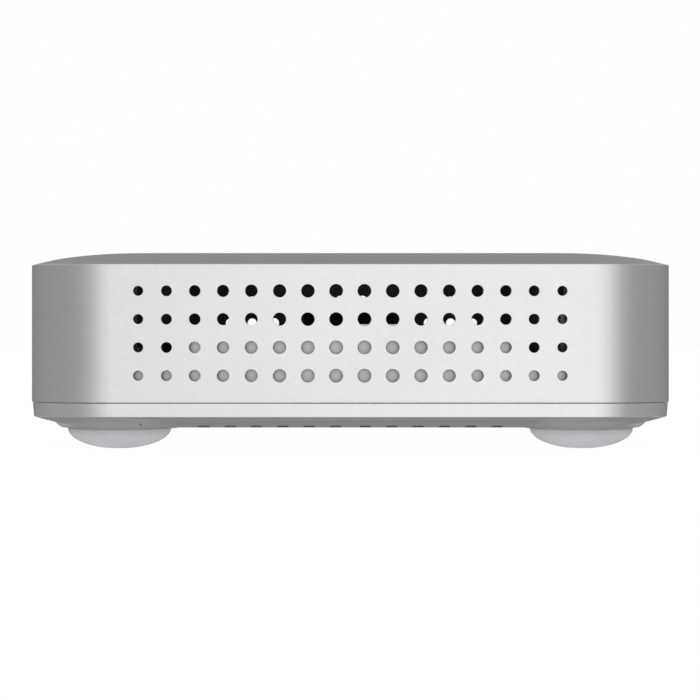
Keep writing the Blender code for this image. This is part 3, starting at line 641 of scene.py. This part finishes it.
def build_cover():
    """A crowned shell with a black inside (partly lining, partly painted shade), screw posts,
    side vents and openings for sockets.
    """
    bottom = SEAM_Z + HALF_SEAM
    inner = [
        (CROWN_WIDTH, LID_Z - WALL),
        (12.0 * MM, lid_height(12.0 * MM) - WALL),
        (5.0 * MM, lid_height(5.0 * MM) - WALL - 0.2 * MM),
        (WALL + 0.5 * MM, WALL_TOP_Z - 0.7 * MM),
        (WALL, WALL_TOP_Z - 1.4 * MM),
        (WALL, bottom + 1.2 * MM),
    ]
    outer = [
        (WALL, bottom),
        *seam_edge(0.0, bottom, 1),
        (0.0, WALL_TOP_Z - 0.03 * MM),
        (0.01 * MM, WALL_TOP_Z - 0.008 * MM),
    ]
    for step in range(CROWN_STEPS + 1):
        along = (step / CROWN_STEPS) ** CROWN_SPACING
        inset = RIM_INSET + (CROWN_WIDTH - RIM_INSET) * along
        outer.append((inset, lid_height(inset)))
    shape = Shape()
    lining_and_shade_bands = {band: LINING_AND_SHADE for band in range(len(inner) - 1)}
    shape.loft(shell_rings(inner + outer), ALUMINIUM, lining_and_shade_bands)
    cover = shape.solid("cover_shell")

    # The posts are black: painted shade
    posts = Shape()
    post_span = (POST_BOTTOM, LID_Z - WALL + 0.3 * MM)
    for x, y in SCREW_CORNERS:
        posts.rod(POST_RADIUS, post_span, (x, y, 0), "Z", LINING_AND_SHADE, 32)
    unite(cover, posts)

    cuts = Shape()
    for radius, y, z in vent_positions():
        flare = radius + VENT_LIP + VENT_FLARE
        profile = [
            (flare, -HALF - VENT_FLARE),
            (radius, -HALF + VENT_LIP),
            (radius, HALF - VENT_LIP),
            (flare, HALF + VENT_FLARE),
        ]
        # The holes' walls take the near-black paint, painted shade; the flared lips stay
        # aluminium
        lips = {0: ALUMINIUM, 2: ALUMINIUM}
        cuts.turned(profile, (0, y, z), "X", SHADED_VENT_WALL, 28, lips)
    for x, y in SCREW_CORNERS:
        cuts.rod(1.4 * MM, (6.0 * MM, 16.7 * MM), (x, y, 0), "Z", ALUMINIUM, 16)
    subtract(cover, cuts)
    subtract(cover, cover_openings())
    smooth(cover, SHELL_SHARP)
    show(cover, "top_cover", weight=SHELL_WEIGHT)


def cover_openings():
    """Openings for the sockets and the button, and the row of exhaust slots."""
    shape = Shape()
    for node, margin, radius in (
        ("front_usb_left", 0.3, 0.9),
        ("front_usb_right", 0.3, 0.9),
        ("front_usb_c", 0.35, 1.9),
    ):
        centre, size = wall_box(node)
        shape.window(grown(size, 2 * margin * MM), centre, radius * MM, PORT_CUT, ALUMINIUM)
    jack, _ = box_of("audio_jack")
    button, button_size = box_of("power_button_ring")
    for centre, radius in ((jack, 3.2 * MM), (button, button_size.x / 2 + 0.2 * MM)):
        shape.rod(radius, PORT_CUT, (centre.x, 0, centre.z), "Y", ALUMINIUM, 56)

    centre, size = wall_box("rear_io_plate")
    shape.window(grown(size, 0.3 * MM), centre, 2.0 * MM, REAR_CUT, ALUMINIUM)
    for index in range(EXHAUST_SLOTS):
        x = EXHAUST_PITCH * (index - EXHAUST_SLOTS // 2)
        shape.window(EXHAUST_SIZE, (x, EXHAUST_Z), EXHAUST_SIZE[1] / 2, REAR_CUT, ALUMINIUM, 5)
    return shape


def build_tray():
    """The base: a dished tray with a sloped underside, foot seats, metal strips and slots."""
    top = SEAM_Z - HALF_SEAM
    profile = [
        (7.0 * MM, TRAY_FLOOR_Z),
        (TRAY_LIP_INNER, TRAY_FLOOR_Z + 1.7 * MM),
        (TRAY_LIP_INNER, TRAY_LIP_Z),
        (TRAY_LIP_OUTER, TRAY_LIP_Z),
        (TRAY_LIP_OUTER, top),
        *seam_edge(FACE_INSET, top, -1),
    ]
    for inset, rise in BEND_PROFILE:
        profile.append((FACE_INSET + inset * MM, underside_height(BEND_INSET) + rise * MM))
    for step in range(UNDERSIDE_STEPS):
        inset = BEND_INSET + (UNDERSIDE_INSET - BEND_INSET) * step / UNDERSIDE_STEPS
        profile.append((inset, underside_height(inset)))
    profile.append((UNDERSIDE_INSET, UNDERSIDE_Z))
    shape = Shape()
    shape.loft(shell_rings(profile), TRAY_ALUMINIUM)
    tray = shape.solid("tray_shell")

    seats = Shape()
    seat = [(radius * MM, UNDERSIDE_Z + rise * MM) for radius, rise in SEAT_PROFILE]
    for x, y in SCREW_CORNERS:
        seats.turned(seat, (x, y, 0), "Z", TRAY_ALUMINIUM, 72)
    unite(tray, seats)

    bosses = Shape()
    for x, y in SCREW_CORNERS:
        bosses.rod(4.5 * MM, (4.7 * MM, 7.3 * MM), (x, y, 0), "Z", TRAY_ALUMINIUM, 32)
    for x, y in four_corners(*BOARD_BOSS):
        bosses.rod(2.2 * MM, (4.7 * MM, 10.5 * MM), (x, y, 0), "Z", TRAY_ALUMINIUM, 24)
    unite(tray, bosses)

    # The metal behind the lower vents, darkened for painted shade, with a short taller strip in
    # the base's lighter aluminium as a painted highlight: half length, middle and height in
    # millimetres
    for half_length, centre_y, height, metal in (
        (40.0, 0.0, 16.1, SHADED_UPSTAND_METAL),
        (30.0, 0.0, 20.5, SHADED_UPSTAND_METAL),
        (5.0, 5.0, 22.5, TRAY_ALUMINIUM),
    ):
        strips = Shape()
        size = (1.0 * MM, 2 * half_length * MM, height * MM - UPSTAND_BOTTOM)
        for sign in (-1, 1):
            x, z = sign * (HALF - UPSTAND_INSET), UPSTAND_BOTTOM + size[2] / 2
            strips.box(size, (x, centre_y * MM, z), metal)
        unite(tray, strips)

    cuts = Shape()
    screw_seat = [
        (2.8 * MM, 3.0 * MM),
        (2.8 * MM, 5.94 * MM),
        (1.5 * MM, 5.94 * MM),
        (1.5 * MM, 9.0 * MM),
    ]
    for x, y in SCREW_CORNERS:
        cuts.turned(screw_seat, (x, y, 0), "Z", TRAY_ALUMINIUM, 32)
    for x, y in four_corners(*BOARD_BOSS):
        cuts.rod(1.25 * MM, (6.3 * MM, 11.0 * MM), (x, y, 0), "Z", TRAY_ALUMINIUM, 16)
    for row in range(INTAKE_ROWS):
        for sign in (-1, 1):
            for low_x, high_x in INTAKE_SPANS:
                y = sign * (INTAKE_FIRST + INTAKE_PITCH * row) * MM
                intake_slot(cuts, low_x * MM, high_x * MM, y)
    subtract(tray, cuts)

    # The pin hole's wall takes the near-black paint: painted shade
    pin_hole = Shape()
    pin_span, pin_place = (49.5 * MM, 56.0 * MM), (0, -37.5 * MM, 4.6 * MM)
    pin_hole.rod(0.15 * MM, pin_span, pin_place, "X", SHADED_VENT_WALL, 16)
    subtract(tray, pin_hole)
    smooth(tray, SHELL_SHARP)
    show(tray, "base_tray", weight=SHELL_WEIGHT)


def intake_slot(shape, low_x, high_x, y):
    """An upright cutter with round ends for one intake slot."""
    points = []
    radius = INTAKE_WIDTH / 2
    for centre, start in ((high_x - radius, -90), (low_x + radius, 90)):
        for step in range(9):
            angle = math.radians(start + 180 * step / 8)
            points.append((centre + radius * math.cos(angle), y + radius * math.sin(angle)))
    # The slot's cut walls take the dark grey paint: painted shade
    shape.loft([[(px, py, z) for px, py in points] for z in INTAKE_CUT], SHADED_SLOT_WALL)


def build_feet():
    """Domes of rubber with a thin flange against the seat and a small flat to stand on."""
    top = UNDERSIDE_Z - 0.02 * MM
    flange = FOOT_RADIUS - 0.15 * MM
    dome_top = top - 0.16 * MM
    lowest = math.acos(FOOT_FLAT / FOOT_RADIUS)
    profile = [(flange, top), (flange, top - 0.08 * MM)]
    for step in range(FOOT_STEPS + 1):
        angle = lowest * step / FOOT_STEPS
        drop = math.sin(angle) / math.sin(lowest) * dome_top
        profile.append((FOOT_RADIUS * math.cos(angle), dome_top - drop))
    profile.append((1.9 * MM, 0.0))
    for words in ("front_left", "front_right", "rear_left", "rear_right"):
        centre, _ = box_of(f"foot_{words}")
        shape = Shape()
        shape.turned(profile, (centre.x, centre.y, 0), "Z", RUBBER, 96)
        show(shape.solid(f"foot_dome_{words}"), f"foot_{words}")


# ---------------------------------------------------------------- power button

def build_power_button():
    """A dished metal cap with a flange and a stem, and the light ring round it."""
    centre, size = box_of("power_button_ring")
    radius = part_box("power_button")[1].x - centre.x - BUTTON_FLANGE
    place = (centre.x, -HALF, centre.z)
    shape = Shape()
    profile = [
        (0.4 * MM, 0.16 * MM),
        (radius * 0.5, 0.12 * MM),
        (radius * 0.8, 0.05 * MM),
        (radius - 0.35 * MM, 0.01 * MM),
        (radius - 0.12 * MM, 0.03 * MM),
        (radius, 0.14 * MM),
        (radius, 1.6 * MM),
        (radius + BUTTON_FLANGE, 1.6 * MM),
        (radius + BUTTON_FLANGE, 2.3 * MM),
        (1.6 * MM, 2.3 * MM),
        (1.6 * MM, 3.6 * MM),
    ]
    shape.turned(profile, place, "Y", ALUMINIUM, 72)
    button = shape.solid("power_button_cap")
    subtract(button, power_symbol(centre))
    smooth(button)
    show(button, "power_button", "button")

    ring = Shape()
    inner, outer = radius + 0.25 * MM, size.x / 2
    section = [
        (inner, 0.10 * MM),
        (inner + 0.1 * MM, 0.04 * MM),
        (outer - 0.1 * MM, 0.04 * MM),
        (outer, 0.10 * MM),
        (outer, 1.25 * MM),
        (inner, 1.25 * MM),
        (inner, 0.10 * MM),
    ]
    ring.turned(section, place, "Y", LIGHT_GUIDE, 72, caps=False)
    bmesh.ops.remove_doubles(ring.bm, verts=ring.bm.verts, dist=1e-7)
    show(ring.solid("power_button_light_ring"), "power_button_ring")


def power_symbol(centre):
    """The usual on/off mark, a broken circle and a bar, as a shallow cutter."""
    shape = Shape()
    radius, half_width = 1.9 * MM, 0.16 * MM
    outside, inside = -HALF - 0.4 * MM, -HALF + 0.30 * MM
    gap, steps = 38, 44
    middle = Vector((centre.x, 0, centre.z))
    rings = []
    for step in range(steps + 1):
        angle = math.radians(90 + gap + (360 - 2 * gap) * step / steps)
        across = Vector((math.cos(angle), 0, math.sin(angle)))
        line = middle + across * radius
        ring = []
        for side, y in ((-1, outside), (1, outside), (1, inside), (-1, inside)):
            ring.append(line + across * side * half_width + Vector((0, y, 0)))
        rings.append(ring)
    shape.loft(rings, LIGHT_GUIDE)
    bar = (2 * half_width, inside - outside, 2.0 * MM)
    spot = (centre.x, (outside + inside) / 2, centre.z + 1.55 * MM)
    shape.box(bar, spot, LIGHT_GUIDE)
    return shape


# ---------------------------------------------------------------- connectors

def mouth_and_back(node, facing):
    """Where a socket opens and where it ends; facing is -1 for the front and 1 for the rear."""
    low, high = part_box(node)
    return (high.y, low.y) if facing > 0 else (low.y, high.y)


def show_socket(shape, node):
    show(shape.solid(f"{node}_socket"), node, weight=PIECE_WEIGHT)


def mirrored(points):
    """Close the right half of an outline, given from its top down, with its mirror image."""
    return points[:1] + [(-x, z) for x, z in points] + points[:0:-1]


def shifted(points, x):
    return [(x + px, pz) for px, pz in points]


def cup(shape, outer, inner, ends, pocket, facing, inside):
    """A plated shell from its back to its mouth, and in again to the pocket's floor."""
    mouth, back = ends
    lip = facing * PORT_LIP

    def between(share):
        return [p * (1 - share) + q * share for p, q in zip(outer, inner)]

    rings = [
        wall_ring(outer, back),
        wall_ring(outer, mouth - lip),
        wall_ring(between(0.1), mouth - lip * 0.3),
        wall_ring(between(0.5), mouth),
        wall_ring(inner, mouth - lip),
        wall_ring(inner, pocket),
    ]
    shape.loft(rings, NICKEL, {4: inside})


def usb_a(node, levels, facing):
    """One or two flat sockets in a plated shell, each with a tongue and its contacts."""
    centre, size = box_of(node)
    low_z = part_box(node)[0].z
    mouth, back = mouth_and_back(node, facing)
    pocket = mouth - facing * 9.2 * MM
    stacked = len(levels) > 1
    shape = Shape()
    if stacked:
        shape.absorb(stacked_body(node, levels, pocket, facing))
    for level in levels:
        z = low_z + level * MM
        if not stacked:
            outer = outline(rectangle((size.x, 5.7 * MM), (centre.x, z)), 0.7 * MM, 5)
            inner = outline(rectangle(USB_A_OPENING, (centre.x, z)), 0.5 * MM, 5)
            cup(shape, outer, inner, (mouth, back), pocket, facing, NICKEL)
        tongue, tongue_z = (11.1 * MM, 8.6 * MM, 1.8 * MM), z + 0.85 * MM
        spot = (centre.x, mouth - facing * 5.2 * MM, tongue_z)
        shape.box(tongue, spot, BLACK_PLASTIC, 0.15 * MM)
        for contact in range(4):
            x = centre.x + (contact - 1.5) * 2.3 * MM
            spot = (x, mouth - facing * 4.6 * MM, tongue_z - 0.93 * MM)
            shape.box((1.0 * MM, 6.4 * MM, 0.12 * MM), spot, GOLD, 0.03 * MM, 1)
        for x_sign in (-1, 1):
            for side in (-1, 1):
                x, spring_z = centre.x + x_sign * 3.1 * MM, z + side * 2.36 * MM
                tilt = Matrix.Rotation(math.radians(side * facing * 6), 4, "X")
                spot = (x, mouth - facing * 3.3 * MM, spring_z)
                shape.box((1.5 * MM, 3.4 * MM, 0.22 * MM), spot, NICKEL, 0.08 * MM, 1, tilt)
    show_socket(shape, node)


def stacked_body(node, levels, pocket, facing):
    """The plated block of a stacked socket, with one pocket for each level."""
    centre, size = wall_box(node)
    low_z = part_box(node)[0].z
    mouth, back = mouth_and_back(node, facing)
    lip = facing * PORT_LIP
    shell = outline(rectangle(size, centre), 0.5 * MM, 4)
    rim = outline(rectangle(grown(size, -2 * PORT_LIP), centre), 0.45 * MM, 4)
    rings = [wall_ring(shell, y) for y in (back, back + facing * MM, mouth - lip)]
    block = Shape()
    block.loft([*rings, wall_ring(rim, mouth)], NICKEL, {0: HOUSING})
    body = block.solid("stacked_body")
    pockets = Shape()
    for level in levels:
        spot = (centre[0], low_z + level * MM)
        inner = outline(rectangle(USB_A_OPENING, spot), 0.5 * MM, 5)
        wide = outline(rectangle(grown(USB_A_OPENING, 2 * PORT_LIP), spot), 0.55 * MM, 5)
        stages = (
            (inner, pocket),
            (inner, mouth - lip),
            (wide, mouth),
            (wide, mouth + facing * MM),
        )
        pockets.loft([wall_ring(points, y) for points, y in stages], NICKEL)
    subtract(body, pockets)
    return body


def usb_c(node, facing):
    """A round-ended socket with a thin tongue and contacts on both of its sides."""
    centre, size = wall_box(node)
    mouth, back = mouth_and_back(node, facing)
    x, z = centre
    shape = Shape()
    outer = outline(rectangle(size, centre), size[1] / 2, 8)
    inner = outline(rectangle((8.34 * MM, 2.56 * MM), centre), 1.28 * MM, 8)
    cup(shape, outer, inner, (mouth, back), mouth - facing * 6.2 * MM, facing, NICKEL)
    spot = (x, mouth - facing * 3.8 * MM, z)
    shape.box((6.65 * MM, 5.6 * MM, 0.7 * MM), spot, BLACK_PLASTIC, 0.2 * MM)
    for contact in range(12):
        for side in (-1, 1):
            contact_x, contact_z = x + (contact - 5.5) * 0.5 * MM, z + side * 0.36 * MM
            spot = (contact_x, mouth - facing * 3.2 * MM, contact_z)
            shape.box((0.26 * MM, 3.6 * MM, 0.06 * MM), spot, GOLD)
    show_socket(shape, node)


def hdmi(node):
    """A display socket with its lower corners cut off, a tongue and two springs."""
    centre, _ = box_of(node)
    low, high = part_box(node)
    bottom = low.z + 0.1 * MM
    mouth = high.y
    cut = 2.1 * MM

    def section(margin):
        x, upper, lower = 7.5 * MM - margin, high.z - margin, bottom + margin
        points = mirrored([(x, upper), (x, lower + cut), (x - cut, lower)])
        return outline(shifted(points, centre.x), 0.5 * MM, 4)

    shape = Shape()
    ends = (mouth, low.y)
    cup(shape, section(0), section(0.45 * MM), ends, mouth - 8.2 * MM, REAR, NICKEL)
    tongue_z = centre.z + 0.35 * MM
    spot = (centre.x, mouth - 4.7 * MM, tongue_z)
    shape.box((10.8 * MM, 7.6 * MM, 1.2 * MM), spot, BLACK_PLASTIC, 0.2 * MM)
    for contact in range(10):
        x = centre.x + (contact - 4.5) * 1.0 * MM
        spot = (x, mouth - 4.2 * MM, tongue_z - 0.62 * MM)
        shape.box((0.45 * MM, 5.6 * MM, 0.08 * MM), spot, GOLD)
    tilt = Matrix.Rotation(math.radians(5), 4, "X")
    for sign in (-1, 1):
        spot = (centre.x + sign * 3.4 * MM, mouth - 3.2 * MM, high.z - 0.62 * MM)
        shape.box((1.8 * MM, 3.6 * MM, 0.2 * MM), spot, NICKEL, 0.07 * MM, 1, tilt)
    show_socket(shape, node)


def ethernet(node):
    """A shielded network socket with a stepped latch notch, eight spring wires and two lamps."""
    centre, size = box_of(node)
    low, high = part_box(node)
    bottom, mouth = low.z, high.y
    wide, notch, latch = 5.9 * MM, 3.0 * MM, 1.7 * MM
    opening = [
        (wide, bottom + 11.1 * MM),
        (wide, bottom + 4.1 * MM),
        (notch, bottom + 4.1 * MM),
        (notch, bottom + 2.4 * MM),
        (latch, bottom + 2.4 * MM),
        (latch, bottom + 1.3 * MM),
    ]
    border = [
        (size.x / 2, high.z),
        (size.x / 2, bottom + 4.1 * MM),
        (size.x / 2, bottom + 3.0 * MM),
        (size.x / 2, bottom),
        (latch + 2.0 * MM, bottom),
        (latch, bottom),
    ]
    outer, inner = [
        outline(shifted(mirrored(half), centre.x), 0.25 * MM, 2) for half in (border, opening)
    ]
    shape = Shape()
    cup(shape, outer, inner, (mouth, low.y), mouth - 12.0 * MM, REAR, BLACK_PLASTIC)
    tilt = Matrix.Rotation(math.radians(-24), 4, "X")
    for wire in range(8):
        x = centre.x + (wire - 3.5) * 1.02 * MM
        spot = (x, mouth - 4.6 * MM, bottom + 8.9 * MM)
        shape.box((0.32 * MM, 6.4 * MM, 0.22 * MM), spot, GOLD, 0.05 * MM, 1, tilt)
    for sign, lamp in ((-1, LED_GREEN), (1, LED_AMBER)):
        spot = (centre.x + sign * 5.6 * MM, mouth + 0.02 * MM, high.z - 1.15 * MM)
        shape.box((2.6 * MM, 0.5 * MM, 1.3 * MM), spot, lamp, 0.12 * MM)
    show_socket(shape, node)


def round_socket(node, z, facing, radii, depth, rim, pin=None):
    """An audio or power socket: a block, a barrel with a bore, and a pin if it has one."""
    outer, bore = radii
    centre, size = box_of(node)
    mouth, back = mouth_and_back(node, facing)
    axis = (centre.x, 0, z)
    body_depth = size.y - 1.6 * MM
    spot = (centre.x, back + facing * body_depth / 2, centre.z)
    block = Shape()
    block.box((size.x, body_depth, size.z), spot, BLACK_PLASTIC, 0.3 * MM)
    body = block.solid("socket_block")
    edge = 0.15 * MM
    barrel = Shape()
    profile = [
        (outer, mouth - facing * 2.3 * MM),
        (outer, mouth - facing * edge),
        (outer - edge, mouth),
    ]
    barrel.turned(profile, axis, "Y", rim)
    unite(body, barrel)
    flare = 0.2 * MM
    hole = Shape()
    profile = [
        (bore, mouth - facing * depth),
        (bore, mouth - facing * flare),
        (bore + flare, mouth),
        (bore + flare, mouth + facing * MM),
    ]
    # The bore's wall takes the black, partly painted shade
    hole.turned(profile, axis, "Y", rim, 48, {0: LINING_AND_SHADE})
    subtract(body, hole)
    shape = Shape()
    shape.absorb(body)
    if pin:
        tip = mouth - facing * 1.4 * MM
        profile = [
            (pin, mouth - facing * (depth + 0.2 * MM)),
            (pin, tip - facing * 0.4 * MM),
            (pin * 0.5, tip),
        ]
        shape.turned(profile, axis, "Y", NICKEL, 24)
    show_socket(shape, node)


def build_rear_plate():
    """The black plate between the rear sockets, with an opening round each."""
    centre, size = wall_box("rear_io_plate")
    low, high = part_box("rear_io_plate")
    edge = 0.15 * MM
    face = outline(rectangle(size, centre), 1.8 * MM, 6)
    rim = outline(rectangle(grown(size, -2 * edge), centre), 1.7 * MM, 6)
    shape = Shape()
    stages = ((face, low.y), (face, high.y - edge), (rim, high.y))
    shape.loft([wall_ring(points, y) for points, y in stages], BLACK_PLASTIC)
    plate = shape.solid("rear_plate")
    cuts = Shape()
    span = (low.y - MM, high.y + MM)
    for node, radius in (
        ("hdmi_port", 0.8),
        ("rear_usb_c", 1.9),
        ("ethernet_port", 0.5),
        ("rear_usb_stack", 0.6),
    ):
        spot, window = wall_box(node)
        cuts.window(grown(window, 0.5 * MM), spot, radius * MM, span, BLACK_PLASTIC)
    jack, _ = box_of("dc_jack")
    cuts.rod(4.1 * MM, span, (jack.x, 0, DC_JACK_Z), "Y", BLACK_PLASTIC, 48)
    subtract(plate, cuts)
    smooth(plate, SHELL_SHARP)
    show(plate, "rear_io_plate", weight=SHELL_WEIGHT)


def build_connectors():
    """All the sockets; the levels of a flat one are in millimetres over its lower face."""
    usb_a("front_usb_left", [2.85], FRONT)
    usb_a("front_usb_right", [2.85], FRONT)
    usb_c("front_usb_c", FRONT)
    usb_a("rear_usb_stack", [3.6, 11.6], REAR)
    usb_c("rear_usb_c", REAR)
    hdmi("hdmi_port")
    ethernet("ethernet_port")
    audio_z = box_of("audio_jack")[0].z
    round_socket("audio_jack", audio_z, FRONT, (2.8 * MM, 1.75 * MM), 9.0 * MM, NICKEL)
    barrel = (3.8 * MM, 2.9 * MM)
    round_socket("dc_jack", DC_JACK_Z, REAR, barrel, 8.6 * MM, BLACK_PLASTIC, 0.95 * MM)
    build_rear_plate()


# ---------------------------------------------------------------- inside

def node_material(name):
    for word, material in NODE_MATERIALS:
        if word in name:
            return material
    return BLACK_PLASTIC


def weld(obj, name):
    step = obj.modifiers.new(name, "WELD")
    step.merge_threshold = 1e-6


def dress_inner_nodes():
    """Give every CAD node that still shows its material, and soften its edges."""
    for name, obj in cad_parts.items():
        if obj.hide_render:
            continue
        obj.data.materials.clear()
        obj.data.materials.append(node_material(name))
        weld(obj, "Weld")
        edge = obj.modifiers.new("Bevel", "BEVEL")
        edge.width = 0.06 * MM
        edge.segments = 1
        edge.limit_method = "ANGLE"
        edge.angle_limit = math.radians(40)
        weld(obj, "Merge")


# ---------------------------------------------------------------- stage

def build_world():
    """A white surround for the camera, and soft panels of light for everything else."""
    world = bpy.data.worlds.new("studio")
    bpy.context.scene.world = world
    world.use_nodes = True
    world.node_tree.nodes.clear()
    sky = Graph(world.node_tree)

    def fade(value, low, high, start=0.0, end=1.0):
        return sky.ramp(value, low, high, start, end, "SMOOTHSTEP")

    def times(first, second):
        return sky.maths("MULTIPLY", first, second)

    def plus(first, second):
        return sky.maths("ADD", first, second)

    split = sky.add("ShaderNodeSeparateXYZ")
    sky.feed(split.inputs[0], sky.add("ShaderNodeTexCoord").outputs["Generated"])
    x, y, z = split.outputs
    azimuth = times(sky.maths("ARCTAN2", y, x), 180 / math.pi)
    elevation = times(sky.maths("ARCSINE", z), 180 / math.pi)
    level = sky.maths("ABSOLUTE", elevation)
    turned = sky.maths("ABSOLUTE", azimuth)
    beside = fade(turned, *REAR_FADE, 1, 0)

    across = times(fade(azimuth, *FRONT_LEFT), fade(azimuth, *FRONT_RIGHT, 1, 0))
    front = times(across, fade(level, *FRONT_TOP, 1, 0))
    front = times(times(front, fade(azimuth, *FRONT_TILT)), FRONT_PANEL)
    high = times(fade(elevation, *HIGH_SIDE_EDGE), beside)
    overhead = sky.maths("MAXIMUM", high, fade(elevation, *OVERHEAD_EDGE))
    overhead = times(overhead, OVERHEAD_PANEL)
    sheen = times(fade(elevation, *SHEEN_TOP), fade(elevation, *SHEEN_BOTTOM, FLOOR_SHEEN, 0))
    low = times(times(sheen, beside), fade(turned, *SHEEN_SIDE))
    around = plus(fade(turned, *AROUND), fade(elevation, *BELOW))
    panels = sky.maths("MAXIMUM", front, overhead)
    glossy = plus(panels, plus(around, plus(low, fade(elevation, *NADIR))))

    paths = sky.add("ShaderNodeLightPath").outputs
    bounce = times(fade(elevation, *FLOOR_BOUNCE), paths["Is Diffuse Ray"])
    lit = sky.add("ShaderNodeBackground")
    sky.feed(lit.inputs["Color"], plus(glossy, bounce))
    plain = sky.add("ShaderNodeBackground")
    sky.feed(plain.inputs["Color"], (1, 1, 1))
    seen = sky.blend(paths["Is Camera Ray"], lit.outputs[0], plain.outputs[0])
    sky.feed(sky.add("ShaderNodeOutputWorld").inputs[0], seen)


def build_floor():
    """A white floor that shows the camera a faint shadow and lets all other light through."""
    material = bpy.data.materials.new("floor_white")
    material.use_nodes = True
    material.node_tree.nodes.clear()
    paint = Graph(material.node_tree)
    diffuse = paint.add("ShaderNodeBsdfDiffuse")
    paint.feed(diffuse.inputs["Color"], (0.9, 0.9, 0.9))
    glow = paint.add("ShaderNodeEmission")
    paint.feed(glow.inputs["Strength"], 1.04)
    pale = paint.blend(0.94, diffuse.outputs[0], glow.outputs[0])
    clear = paint.add("ShaderNodeBsdfTransparent").outputs[0]
    seen = paint.add("ShaderNodeLightPath").outputs["Is Camera Ray"]
    under = paint.add("ShaderNodeNewGeometry").outputs["Backfacing"]
    surface = paint.blend(paint.maths("GREATER_THAN", seen, under), clear, pale)
    paint.feed(paint.add("ShaderNodeOutputMaterial").inputs[0], surface)

    shape = Shape()
    ring = [shape.bm.verts.new((x, y, 0)) for x, y in rectangle((6.0, 6.0), (0, 0))]
    shape.paint([shape.bm.faces.new(ring)], material)
    shape.solid("floor")


def build_inner_light():
    """A faint lamp inside the case, so that the dark behind the vents keeps some depth."""
    data = bpy.data.lights.new("inner_fill", "POINT")
    data.energy = LAMP_WATTS
    data.shadow_soft_size = LAMP_RADIUS
    lamp = bpy.data.objects.new("inner_fill", data)
    lamp.location = LAMP_PLACE
    COLLECTION.objects.link(lamp)


def build_camera():
    """Level with the middle of the body, close enough to give its strong perspective."""
    data = bpy.data.cameras.new("camera")
    data.sensor_width = 36.0
    data.lens = CAMERA_LENS
    data.shift_x, data.shift_y = CAMERA_SHIFT
    data.clip_start = 0.01
    data.clip_end = 50.0
    camera = bpy.data.objects.new("camera", data)
    camera.location = CAMERA_PLACE
    camera.rotation_euler = (math.radians(90), 0, math.radians(90))
    COLLECTION.objects.link(camera)
    bpy.context.scene.camera = camera
    bpy.context.scene.view_settings.view_transform = "Standard"


build_cover()
build_tray()
build_feet()
build_power_button()
build_connectors()
dress_inner_nodes()
build_world()
build_floor()
build_inner_light()
build_camera()
